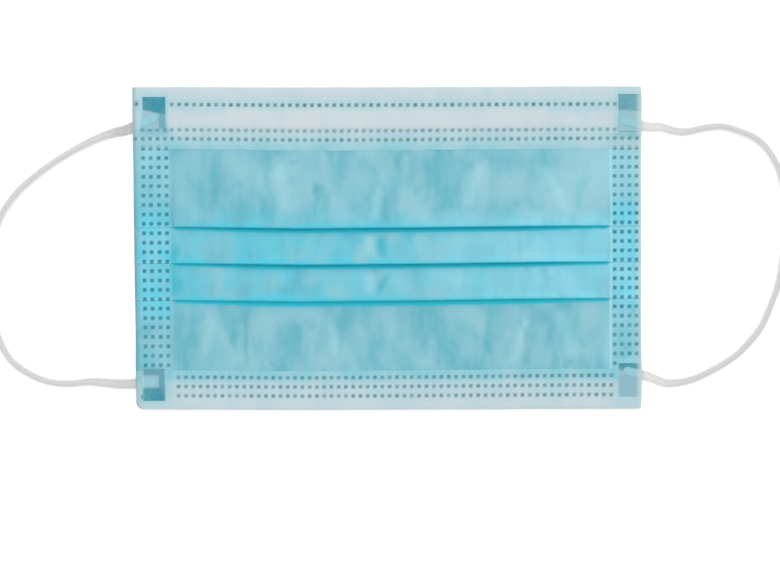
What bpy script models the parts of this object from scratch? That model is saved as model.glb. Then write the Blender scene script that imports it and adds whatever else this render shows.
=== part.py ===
"""A pleated surgical face mask, lying flat with its outer side up.

The frame is +X to the wearer's left, +Y towards the nose and +Z up, out of the outer side.
The origin is in the middle of the cloth, on the surface that the mask lies on.
The two layers of cloth are folded together along one neutral line, which runs like a belt
round a pulley at each fold, from the chin hem up to the nose hem.
"""

import math

import bmesh
import bpy
from mathutils import Vector
from mathutils.geometry import interpolate_bezier

# Overall size of the cloth
MASK_WIDTH = 0.175
MASK_HEIGHT = 0.111

# Cloth walls, and the clearance between separate pieces
CLOTH = 0.001
GAP = 0.0003

# Depth of the lining's turned-over hems, seen from the front
NOSE_HEM = 0.0217
CHIN_HEM = 0.0134

# Nose wire, centred in the channel of the nose hem
WIRE_LENGTH = 0.111
WIRE_WIDTH = 0.0045
WIRE_THICKNESS = 0.0008
WIRE_ROUNDING = 0.00024
WIRE_FROM_TOP = 0.0112
CHANNEL_SLOPE = 0.0025

# Where the layers and the flattened end of an ear loop are melted together
WELD_WIDTH = 0.0078
WELD_HEIGHT = 0.0110
WELD_THICKNESS = 0.0015
WELD_LIFT = 0.00025
TAB_WIDTH = 0.0046
TAB_THICKNESS = 0.0008
TAB_OUTSIDE = 0.0020
TAB_MARGIN = 0.0016
TAB_ROOT_DEPTH = 0.0005

# Ear loops
LOOP_DIAMETER = 0.0025
LOOP_STEP = 0.0065
ROUTE_SAMPLES = 16

# Radius of the gentle bends where the cloth leaves a hem, and where they start, from the edge
SOFT_BEND = 0.006
NOSE_BEND = 0.250
CHIN_BEND = 0.165
CHIN_SETTLE = 0.240

# Each pleat: where its front edge lies, from the top, and how deep it is folded, as shares of the height
PLEATS = (
    {"edge": 0.437, "depth": 0.075},
    {"edge": 0.548, "depth": 0.075},
    {"edge": 0.661, "depth": 0.075},
)

# Each weld: its side and end of the mask, its insets as shares of width and height, and where
# the loop leaves the edge, as a share of the height from the middle, with the turn of its tab
WELDS = (
    {"name": "top_left", "side": -1, "end": 1, "side_inset": 0.021, "end_inset": 0.031,
     "tab_y": 0.369, "tab_turn": 20.0},
    {"name": "bottom_left", "side": -1, "end": -1, "side_inset": 0.021, "end_inset": 0.027,
     "tab_y": -0.420, "tab_turn": 3.0},
    {"name": "top_right", "side": 1, "end": 1, "side_inset": 0.0, "end_inset": 0.022,
     "tab_y": 0.377, "tab_turn": 0.0},
    {"name": "bottom_right", "side": 1, "end": -1, "side_inset": 0.0, "end_inset": 0.043,
     "tab_y": -0.386, "tab_turn": -9.0},
)

# Route of each ear loop over the surface, from its top tab to its bottom tab
LEFT_ROUTE = (
    (-0.0898, 0.0407), (-0.0930, 0.0400), (-0.0987, 0.0381), (-0.1056, 0.0348),
    (-0.1124, 0.0308), (-0.1193, 0.0260), (-0.1262, 0.0200), (-0.1314, 0.0133),
    (-0.1348, 0.0057), (-0.1365, -0.0033), (-0.1367, -0.0126), (-0.1357, -0.0219),
    (-0.1334, -0.0308), (-0.1292, -0.0384), (-0.1228, -0.0432), (-0.1159, -0.0459),
    (-0.1090, -0.0465), (-0.1021, -0.0459), (-0.0952, -0.0464), (-0.0898, -0.0467),
)
RIGHT_ROUTE = (
    (0.0898, 0.0419), (0.0941, 0.0418), (0.0975, 0.0408), (0.1009, 0.0401),
    (0.1044, 0.0403), (0.1078, 0.0411), (0.1113, 0.0417), (0.1147, 0.0419),
    (0.1182, 0.0413), (0.1250, 0.0388), (0.1285, 0.0365), (0.1319, 0.0327),
    (0.1352, 0.0260), (0.1370, 0.0170), (0.1374, 0.0080), (0.1365, -0.0010),
    (0.1350, -0.0108), (0.1315, -0.0210), (0.1280, -0.0281), (0.1222, -0.0349),
    (0.1179, -0.0384), (0.1122, -0.0418), (0.1044, -0.0453), (0.0975, -0.0464),
    (0.0941, -0.0458), (0.0898, -0.0440),
)

# Largest turn between two points of an arc, and the turn under which a line counts as straight
ARC_STEP = math.radians(20)
STRAIGHT = math.radians(0.001)

# Points along the nose hem's flap, and how far the cutters reach past the cloth
FLAP_STEPS = 24
CUTTER_REACH = 0.02

# Sizes that follow from those above
TOP_EDGE = MASK_HEIGHT / 2
LAMINATE = 2 * CLOTH + GAP
PLY = LAMINATE + GAP
TURN = PLY / 2
OVER = TURN + PLY
FOLD_REACH = TURN + LAMINATE / 2
LAYER_OFFSET = (CLOTH + GAP) / 2
HEM_LIFT = TAB_THICKNESS + GAP
HEM_LINE = HEM_LIFT + LAMINATE / 2
HEM_TURN = CLOTH + GAP
HEM_REACH = HEM_TURN + CLOTH / 2
FLAP_LINE = HEM_LINE - LAYER_OFFSET + 2 * HEM_TURN
COVER_TOP = HEM_LIFT + LAMINATE
WIRE_BOTTOM = COVER_TOP + GAP
CHANNEL_RISE = WIRE_THICKNESS


def material(name, colour, roughness, metallic=0.0):
    """A plain surface of one colour."""
    made = bpy.data.materials.new(name)
    made.use_nodes = True
    shader = made.node_tree.nodes["Principled BSDF"]
    shader.inputs["Base Color"].default_value = (*colour, 1.0)
    shader.inputs["Roughness"].default_value = roughness
    shader.inputs["Metallic"].default_value = metallic
    return made


def collection(name):
    """A new collection in the scene."""
    made = bpy.data.collections.new(name)
    bpy.context.scene.collection.children.link(made)
    return made


def put(obj, group, finish=None):
    """Moves an object into one collection and gives it its material."""
    for old in list(obj.users_collection):
        old.objects.unlink(obj)
    group.objects.link(obj)
    if finish:
        obj.data.materials.clear()
        obj.data.materials.append(finish)
    return obj


def box(name, low, high):
    """A box between two corners."""
    low, high = Vector(low), Vector(high)
    bpy.ops.mesh.primitive_cube_add(size=1.0, location=(low + high) / 2)
    made = bpy.context.object
    made.name = name
    made.scale = high - low
    bpy.ops.object.transform_apply(location=False, rotation=False, scale=True)
    return made


def boolean(target, other, operation):
    """Adds a Boolean of another object to the target."""
    step = target.modifiers.new(other.name, "BOOLEAN")
    step.operation = operation
    step.object = other
    step.solver = "EXACT"


def belt(pulleys):
    """The line of a belt round pulleys, as (point, normal) pairs in the YZ plane.

    Each pulley is (y, z, radius): positive on the right of the way that the belt runs, so
    that it turns clockwise there, negative on its left, and zero for an end of the belt.
    """
    angles = []
    for (y0, z0, r0), (y1, z1, r1) in zip(pulleys, pulleys[1:]):
        span = math.hypot(y1 - y0, z1 - z0)
        angles.append(math.atan2(z1 - z0, y1 - y0) - math.asin((r0 - r1) / span))
    line = []
    for index, (y, z, radius) in enumerate(pulleys):
        start = angles[max(index - 1, 0)]
        end = angles[min(index, len(angles) - 1)]
        way = -1 if radius > 0 else 1
        turned = way * (end - start) % (2 * math.pi)
        if not radius or min(turned, 2 * math.pi - turned) < STRAIGHT:
            turned = 0.0
        steps = math.ceil(turned / ARC_STEP)
        for step in range(steps + 1):
            angle = start + way * turned * step / max(steps, 1)
            normal = Vector((-math.sin(angle), math.cos(angle)))
            line.append((Vector((y, z)) + normal * radius, normal))
    return line


def neutral_line():
    """The line between the two layers, from inside the chin hem to inside the nose hem."""
    cloth_end = TOP_EDGE - HEM_REACH
    settle = LAMINATE / 2
    pulleys = [
        (-cloth_end, HEM_LINE, 0.0),
        (CHIN_BEND * MASK_HEIGHT - TOP_EDGE, HEM_LINE - SOFT_BEND, SOFT_BEND),
        (CHIN_SETTLE * MASK_HEIGHT - TOP_EDGE, settle + SOFT_BEND, -SOFT_BEND),
    ]
    for pleat in reversed(PLEATS):
        edge = TOP_EDGE - pleat["edge"] * MASK_HEIGHT
        front = (edge + FOLD_REACH, settle + OVER)
        back = (edge + pleat["depth"] * MASK_HEIGHT - FOLD_REACH, settle + TURN)
        pulleys += [(*front, -OVER), (*back, -TURN), (*front, TURN), (*back, OVER)]
    pulleys += [
        (TOP_EDGE - NOSE_BEND * MASK_HEIGHT, HEM_LINE + SOFT_BEND, -SOFT_BEND),
        (cloth_end, HEM_LINE, 0.0),
    ]
    return belt(pulleys)


def hem_turn(end, first, last):
    """The half circle in which the lining turns over the cover's edge, at the chin (-1) or nose (1)."""
    centre_y = end * (TOP_EDGE - HEM_REACH)
    centre_z = (first + last) / 2
    steps = math.ceil(math.pi / ARC_STEP)
    radius = (last - first) / 2
    return [
        (
            centre_y + end * HEM_TURN * math.sin(math.pi * step / steps),
            centre_z - radius * math.cos(math.pi * step / steps),
        )
        for step in range(1, steps)
    ]


def channel_height(from_top):
    """How far the flap of the nose hem rises over the nose wire, at a distance from the top edge."""
    beside = abs(from_top - WIRE_FROM_TOP) - (WIRE_WIDTH / 2 + GAP)
    share = min(max(beside / CHANNEL_SLOPE, 0.0), 1.0)
    return CHANNEL_RISE * (1 + math.cos(math.pi * share)) / 2


def nose_flap():
    """The lining's turned-over flap at the nose, from the top edge down to its free end."""
    depth = NOSE_HEM - HEM_REACH
    offsets = [HEM_REACH + depth * step / FLAP_STEPS for step in range(FLAP_STEPS + 1)]
    return [(TOP_EDGE - down, FLAP_LINE + channel_height(down)) for down in offsets]


def cloth_sheet(name, line, finish, group):
    """A sheet of cloth that follows a line in the YZ plane, over the whole width of the mask."""
    mesh = bpy.data.meshes.new(name)
    sheet = bmesh.new()
    corners = [sheet.verts.new((-MASK_WIDTH / 2, y, z)) for y, z in line]
    edges = [sheet.edges.new(pair) for pair in zip(corners, corners[1:])]
    across = bmesh.ops.extrude_edge_only(sheet, edges=edges)["geom"]
    moved = [part for part in across if isinstance(part, bmesh.types.BMVert)]
    bmesh.ops.translate(sheet, verts=moved, vec=(MASK_WIDTH, 0.0, 0.0))
    bmesh.ops.recalc_face_normals(sheet, faces=sheet.faces)
    sheet.to_mesh(mesh)
    sheet.free()
    made = bpy.data.objects.new(name, mesh)
    group.objects.link(made)
    wall = made.modifiers.new("wall", "SOLIDIFY")
    wall.thickness = CLOTH
    wall.offset = 0.0
    wall.use_even_offset = True
    put(made, group, finish)
    return made


def outer_cover(finish, group):
    """The blue outer layer, whose ends lie inside the hems."""
    line = [point + normal * LAYER_OFFSET for point, normal in neutral_line()]
    return cloth_sheet("outer_cover", [tuple(point) for point in line], finish, group)


def inner_lining(finish, group):
    """The white inner layer, turned over the cover's top and bottom edges as the hems."""
    body = [tuple(point - normal * LAYER_OFFSET) for point, normal in neutral_line()]
    inner = HEM_LINE - LAYER_OFFSET
    chin_flap = [
        (CHIN_HEM - TOP_EDGE, FLAP_LINE),
        (HEM_REACH - TOP_EDGE, FLAP_LINE),
    ]
    chin_turn = list(reversed(hem_turn(-1, inner, FLAP_LINE)))
    nose_turn = hem_turn(1, inner, FLAP_LINE)
    line = chin_flap + chin_turn + body + nose_turn + nose_flap()
    return cloth_sheet("inner_lining", line, finish, group)


def nose_wire(finish, group):
    """The flat bendable strip between the nose hem's flap and the cover."""
    middle = TOP_EDGE - WIRE_FROM_TOP
    made = box(
        "nose_wire",
        (-WIRE_LENGTH / 2, middle - WIRE_WIDTH / 2, WIRE_BOTTOM),
        (WIRE_LENGTH / 2, middle + WIRE_WIDTH / 2, WIRE_BOTTOM + WIRE_THICKNESS),
    )
    rounding = made.modifiers.new("rounded edges", "BEVEL")
    rounding.width = WIRE_ROUNDING
    rounding.segments = 2
    return put(made, group, finish)


def weld_window(weld):
    """The low and high corner of a weld's rectangle, in X and Y."""
    outer_x = weld["side"] * MASK_WIDTH * (0.5 - weld["side_inset"])
    outer_y = weld["end"] * MASK_HEIGHT * (0.5 - weld["end_inset"])
    inner_x = outer_x - weld["side"] * WELD_WIDTH
    inner_y = outer_y - weld["end"] * WELD_HEIGHT
    return (
        (min(outer_x, inner_x), min(outer_y, inner_y)),
        (max(outer_x, inner_x), max(outer_y, inner_y)),
    )


def weld_cutter(weld, group):
    """The opening that a weld takes out of the cloth, run past the edge where the weld reaches it."""
    low, high = weld_window(weld)
    low = [low[0] - GAP, low[1] - GAP]
    high = [high[0] + GAP, high[1] + GAP]
    if weld["side"] > 0 and not weld["side_inset"]:
        high[0] += CUTTER_REACH
    cutter = box(f"cut_{weld['name']}", (*low, -CUTTER_REACH), (*high, CUTTER_REACH))
    cutter.hide_render = True
    cutter.display_type = "WIRE"
    return put(cutter, group)


def tab_plate(name, weld, inner_x, top):
    """A plate along a loop's tab, up from the surface, whose inner end is slid along Y by the tab's turn."""
    outer_x = weld["side"] * (MASK_WIDTH / 2 + TAB_OUTSIDE)
    middle_y = weld["tab_y"] * MASK_HEIGHT
    slide = abs(outer_x - inner_x) * math.tan(math.radians(weld["tab_turn"])) * weld["end"]
    plate = box(
        name,
        (min(inner_x, outer_x), middle_y - TAB_WIDTH / 2, 0.0),
        (max(inner_x, outer_x), middle_y + TAB_WIDTH / 2, top),
    )
    for vertex in plate.data.vertices:
        if vertex.co.x * weld["side"] < 0:
            vertex.co.y += slide
    return plate


def loop_weld(weld, finish, group, helpers):
    """The melted patch at a corner, one piece with the flattened end of the ear loop."""
    low, high = weld_window(weld)
    bottom = HEM_LIFT + WELD_LIFT
    patch = box(f"loop_weld_{weld['name']}", (*low, bottom), (*high, bottom + WELD_THICKNESS))
    inner_x = (low[0] if weld["side"] > 0 else high[0]) + weld["side"] * TAB_MARGIN
    tab = tab_plate(f"tab_{weld['name']}", weld, inner_x, TAB_THICKNESS)
    root = tab_plate(f"root_{weld['name']}", weld, inner_x, bottom + TAB_ROOT_DEPTH)
    inside = box(f"inside_{weld['name']}", (*low, -CUTTER_REACH), (*high, CUTTER_REACH))
    boolean(root, inside, "INTERSECT")
    boolean(patch, root, "UNION")
    boolean(patch, tab, "UNION")
    for helper in (tab, root, inside):
        helper.hide_render = True
        helper.display_type = "WIRE"
        put(helper, helpers)
    return put(patch, group, finish)


def smooth_route(route, step):
    """Points about one step apart on a smooth curve through the route's own points."""
    points = [Vector((x, y, LOOP_DIAMETER / 2)) for x, y in route]
    ends = [2 * points[0] - points[1], *points, 2 * points[-1] - points[-2]]
    fine = []
    for before, start, end, after in zip(ends, ends[1:], ends[2:], ends[3:]):
        out = start + (end - before) / 6
        back = end - (after - start) / 6
        fine += interpolate_bezier(start, out, back, end, ROUTE_SAMPLES)[:-1]
    fine.append(points[-1])
    travelled = [0.0]
    for start, end in zip(fine, fine[1:]):
        travelled.append(travelled[-1] + (end - start).length)
    count = round(travelled[-1] / step)
    wanted = [travelled[-1] * index / count for index in range(count + 1)]
    nearest = [min(range(len(fine)), key=lambda i: abs(travelled[i] - at)) for at in wanted]
    return [fine[index] for index in nearest]


def ear_loop(name, route, finish, group):
    """A round elastic that lies on the surface, between the tabs of its two welds."""
    curve = bpy.data.curves.new(name, "CURVE")
    curve.dimensions = "3D"
    curve.bevel_depth = LOOP_DIAMETER / 2
    curve.bevel_resolution = 2
    curve.use_fill_caps = True
    points = smooth_route(route, LOOP_STEP)
    spline = curve.splines.new("POLY")
    spline.points.add(len(points) - 1)
    for target, point in zip(spline.points, points):
        target.co = (*point, 1.0)
    made = bpy.data.objects.new(name, curve)
    group.objects.link(made)
    return put(made, group, finish)


def clear_scene():
    """Removes every object that the file opened with."""
    for old in list(bpy.data.objects):
        bpy.data.objects.remove(old, do_unlink=True)


def build():
    """Builds the whole mask."""
    clear_scene()
    parts = collection("surgical_face_mask")
    helpers = collection("cutters")
    blue = material("blue spunbond", (0.22, 0.60, 0.70), 0.75)
    white = material("white spunbond", (0.80, 0.86, 0.88), 0.80)
    melted = material("melted cloth", (0.05, 0.38, 0.48), 0.35)
    elastic = material("white elastic", (0.86, 0.86, 0.85), 0.85)
    coated = material("coated wire", (0.88, 0.88, 0.88), 0.45)
    cover = outer_cover(blue, parts)
    lining = inner_lining(white, parts)
    for weld in WELDS:
        cutter = weld_cutter(weld, helpers)
        boolean(cover, cutter, "DIFFERENCE")
        boolean(lining, cutter, "DIFFERENCE")
        loop_weld(weld, melted, parts, helpers)
    nose_wire(coated, parts)
    ear_loop("ear_loop_left", LEFT_ROUTE, elastic, parts)
    ear_loop("ear_loop_right", RIGHT_ROUTE, elastic, parts)


build()
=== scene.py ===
"""The looks of a pleated surgical face mask, lying flat with its outer side up.

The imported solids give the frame: where the cloth ends, where the loops are welded on and where
the nose wire lies. Each visible piece is worked out from them here, as thin cloth with soft
pleats, as fused corner spots and as knitted ear loops. Lengths are metres.
"""

import logging
import math
from dataclasses import dataclass
from enum import Enum

import bpy
import numpy as np
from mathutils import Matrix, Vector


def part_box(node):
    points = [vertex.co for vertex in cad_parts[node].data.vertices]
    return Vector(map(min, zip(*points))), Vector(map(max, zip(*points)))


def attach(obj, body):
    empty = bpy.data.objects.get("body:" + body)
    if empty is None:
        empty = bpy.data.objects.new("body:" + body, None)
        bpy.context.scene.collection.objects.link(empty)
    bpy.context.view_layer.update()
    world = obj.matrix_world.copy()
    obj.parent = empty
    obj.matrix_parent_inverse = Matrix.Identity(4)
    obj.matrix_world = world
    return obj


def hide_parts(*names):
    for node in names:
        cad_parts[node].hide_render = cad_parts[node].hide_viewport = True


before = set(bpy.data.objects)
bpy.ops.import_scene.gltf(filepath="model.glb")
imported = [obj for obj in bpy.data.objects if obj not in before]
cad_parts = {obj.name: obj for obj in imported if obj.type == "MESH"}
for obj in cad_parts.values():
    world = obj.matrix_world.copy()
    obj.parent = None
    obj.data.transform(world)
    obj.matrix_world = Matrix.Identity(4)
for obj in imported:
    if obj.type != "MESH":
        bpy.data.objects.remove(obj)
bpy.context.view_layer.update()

Array = np.ndarray
Piece = bpy.types.Object
Material = bpy.types.Material
Node = bpy.types.Node
Socket = bpy.types.NodeSocket

MM = 0.001
LOG = logging.getLogger("mask")
LINE_STEP = 1.35 * MM
END_CLEARANCE = 0.05 * MM
LINE_CLEARANCE = 0.04 * MM
WHITEST = (1.0, 1.0, 1.0, 1.0)


def ease(share: Array | float) -> Array:
    """A smooth step, from 0 where share is 0 to 1 where it is 1."""
    share = np.clip(share, 0.0, 1.0)
    return share * share * (3.0 - 2.0 * share)


def bell(distance: Array | float, width: float) -> Array:
    """A bell curve of height 1, which has all but gone at twice its width."""
    return np.exp(-((distance / width) ** 2))


def by_side(x: Array, left: float, right: float) -> Array:
    """One value for the left half of the mask and another for the right half."""
    return np.where(x > 0, right, left)


def lines_between(marks: Array, low: float, high: float, step: float) -> Array:
    """Grid lines over a stretch of cloth.

    Args:
        marks: Places where a line is wanted, such as the rims of the weld spots.
        low: Where the first line lies.
        high: Where the last line lies.
        step: The widest that two lines may be apart.

    Returns:
        The places of all lines, in rising order.
    """
    inner = marks[(marks > low + END_CLEARANCE) & (marks < high - END_CLEARANCE)]
    wanted = np.concatenate(([low], np.sort(inner), [high]))
    wanted = wanted[np.concatenate(([True], np.diff(wanted) > LINE_CLEARANCE))]
    lines = [wanted[0]]
    for start, end in zip(wanted, wanted[1:]):
        count = max(1, math.ceil((end - start) / step - 1e-6))
        lines.extend(start + (end - start) * (index + 1) / count for index in range(count))
    return np.array(lines)


def curve_through(place: Array, knots: list[float], values: list[float]) -> Array:
    """A smooth curve through a few values, level at both ends.

    Args:
        place: Where the curve is read.
        knots: Where its values are given, in rising order.
        values: The values there.

    Returns:
        The curve's values at each place.
    """
    knots_at, values_at = np.array(knots), np.array(values)
    slopes = np.zeros(len(knots))
    secants = np.diff(values_at) / np.diff(knots_at)
    slopes[1:-1] = (secants[1:] + secants[:-1]) / 2
    inside = np.clip(place, knots_at[0], knots_at[-1])
    left = np.clip(np.searchsorted(knots_at, inside, side="right") - 1, 0, len(knots) - 2)
    span = knots_at[left + 1] - knots_at[left]
    t = (inside - knots_at[left]) / span
    rise = (2 * t**3 - 3 * t**2 + 1) * values_at[left] + (3 * t**2 - 2 * t**3) * values_at[left + 1]
    bend = (t**3 - 2 * t**2 + t) * slopes[left] + (t**3 - t**2) * slopes[left + 1]
    return rise + bend * span


class Side(Enum):
    """The two sides of the mask, as the photo shows them."""

    LEFT = -1
    RIGHT = 1


class End(Enum):
    """The two ends of the mask."""

    CHIN = -1
    NOSE = 1


@dataclass(frozen=True)
class Cloth:
    """Sizes of the laminate and its hems."""

    thickness: float = 0.24 * MM
    layer: float = 0.13 * MM
    flap: float = 0.39 * MM
    rest: float = 0.30 * MM
    nose_hem: float = 21.7 * MM
    chin_hem: float = 13.5 * MM
    left_band: float = -74.6 * MM
    right_band: float = 77.2 * MM
    pressed: float = 0.38
    band_slope: float = 1.6 * MM

    @property
    def turn(self) -> float:
        """Radius in which the lining turns over the cover's edge."""
        return (self.flap + self.layer) / 2

    @property
    def reach(self) -> float:
        """How far the turned edge reaches past the centre of its turn."""
        return self.turn + self.thickness / 2

    def inner(self, x: Array) -> Array:
        """How far points lie inside the side bands, and negative on them."""
        return np.minimum(x - self.left_band, self.right_band - x)

    def loft(self, x: Array) -> Array:
        """How much of the cloth's thickness is left: all of it inside, less in the welded side bands."""
        return self.pressed + (1 - self.pressed) * ease(self.inner(x) / self.band_slope)


@dataclass(frozen=True)
class Plan:
    """The outline of the flat cloth, with the small slants of the photographed one.

    A tilt slopes the lines across the width and a bow bends them, each by its values at a few places.
    """

    half_width: float
    half_height: float
    left_lean: float = 1.5 * MM
    bow_reach: float = 1.35
    corners: tuple = (
        (Side.LEFT, End.CHIN, 2.6 * MM),
        (Side.LEFT, End.NOSE, 0.5 * MM),
        (Side.RIGHT, End.CHIN, 0.9 * MM),
        (Side.RIGHT, End.NOSE, 0.5 * MM),
    )
    tilt_at: tuple = (-55.5 * MM, -44.0 * MM, -18.0 * MM, 7.0 * MM, 34.0 * MM, 55.5 * MM)
    tilt: tuple = (0.3 * MM, 0.9 * MM, 1.0 * MM, 0.7 * MM, 0.3 * MM, 0.3 * MM)
    bow_at: tuple = (-87.5 * MM, -70.0 * MM, -30.0 * MM, 12.0 * MM, 60.0 * MM, 87.5 * MM)
    bow: tuple = (0.5 * MM, 0.5 * MM, -0.25 * MM, -0.1 * MM, 0.35 * MM, 0.4 * MM)

    @classmethod
    def from_frame(cls) -> "Plan":
        """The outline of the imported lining."""
        low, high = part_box("inner_lining")
        return cls(half_width=(high[0] - low[0]) / 2, half_height=(high[1] - low[1]) / 2)

    def place(self, x: Array, y: Array) -> tuple[Array, Array]:
        """Lays points of the square outline into the real one.

        Args:
            x: Their places across the width.
            y: Their places along the length.

        Returns:
            Where they come to lie.
        """
        across = x / self.half_width
        along = y / self.half_height
        lean = self.left_lean * np.clip(0.5 - 0.5 * along, 0, 1) * np.clip(-across, 0, 1)
        tilt = np.interp(y, self.tilt_at, self.tilt) * across / 2
        bow = np.interp(x, self.bow_at, self.bow) * ease(self.bow_reach - abs(along))
        dx, dy = lean, tilt + bow
        for side, end, radius in self.corners:
            a = np.clip(1 - (self.half_width - x * side.value) / radius, 0, 1)
            b = np.clip(1 - (self.half_height - y * end.value) / radius, 0, 1)
            dx = dx - side.value * radius * a * (1 - np.sqrt(1 - b * b / 2))
            dy = dy - end.value * radius * b * (1 - np.sqrt(1 - a * a / 2))
        return x + dx, y + dy

    def unplace(self, x: float, y: float) -> tuple[float, float]:
        """The square outline's point that comes to lie at x, y, to within hundredths of a millimetre."""
        there_x, there_y = self.place(np.array(x), np.array(y))
        return float(2 * x - there_x), float(2 * y - there_y)


@dataclass(frozen=True)
class WeldSpot:
    """Where a loop's end is fused in: its window in the cloth, and how the fused film looks."""

    name: str
    side: Side
    end: End
    low: tuple[float, float]
    high: tuple[float, float]
    loop_x: float
    loop_y: float
    darkness: float
    dark_from: float
    dark_slope: float

    def melted(self, x: Array, y: Array) -> Array:
        """How far the layers are melted through at each point, from 0 to 1: most past a slanting line."""
        edge = self.dark_from + self.dark_slope * (x - (self.low[0] + self.high[0]) / 2)
        return self.darkness * ease((self.end.value * (y - edge) + 0.4 * MM) / (0.8 * MM))

    def distance(self, x: Array, y: Array) -> Array:
        """Measures from the window's rim.

        Args:
            x: Places across the width.
            y: Places along the length.

        Returns:
            How far points are from the window, negative inside it.
        """
        dx = np.maximum(self.low[0] - x, x - self.high[0])
        dy = np.maximum(self.low[1] - y, y - self.high[1])
        outside = np.hypot(np.maximum(dx, 0), np.maximum(dy, 0))
        return np.where(np.maximum(dx, dy) < 0, np.maximum(dx, dy), outside)


def weld_spots(plan: Plan) -> list[WeldSpot]:
    """The four corner welds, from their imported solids.

    Args:
        plan: The outline, which the windows are read back through.

    Returns:
        One weld for each corner.
    """
    width = 7.8 * MM
    # Name, side, end, height, place of the loop's end, and the film's darkness, its start and its slant.
    table = (
        ("top_left", Side.LEFT, End.NOSE, 11.0 * MM, (-81.3 * MM, 44.3 * MM), (1.0, 46.6 * MM, -0.25)),
        ("bottom_left", Side.LEFT, End.CHIN, 11.0 * MM, (-81.6 * MM, -46.1 * MM), (0.95, -47.9 * MM, 0.04)),
        ("top_right", Side.RIGHT, End.NOSE, 13.2 * MM, (82.9 * MM, 43.6 * MM), (0.66, 47.0 * MM, -0.05)),
        ("bottom_right", Side.RIGHT, End.CHIN, 11.0 * MM, (84.0 * MM, -42.5 * MM), (0.2, -44.0 * MM, 0.0)),
    )
    spots = []
    for name, side, end, height, loop, dark in table:
        box_low, box_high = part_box(f"loop_weld_{name}")
        inner_x = box_high[0] if side is Side.LEFT else box_low[0]
        outer_y = box_high[1] if end is End.NOSE else box_low[1]
        middle = plan.unplace(inner_x + side.value * width / 2, outer_y - end.value * height / 2)
        low = [middle[0] - width / 2, middle[1] - height / 2]
        high = [middle[0] + width / 2, middle[1] + height / 2]
        if side is Side.RIGHT:
            high[0] = plan.half_width
        spots.append(WeldSpot(name, side, end, tuple(low), tuple(high), *loop, *dark))
    return spots


@dataclass(frozen=True)
class DotRow:
    """A row of weld dots across a hem."""

    y: float
    first: float
    last: float
    force: float = 1.0


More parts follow.
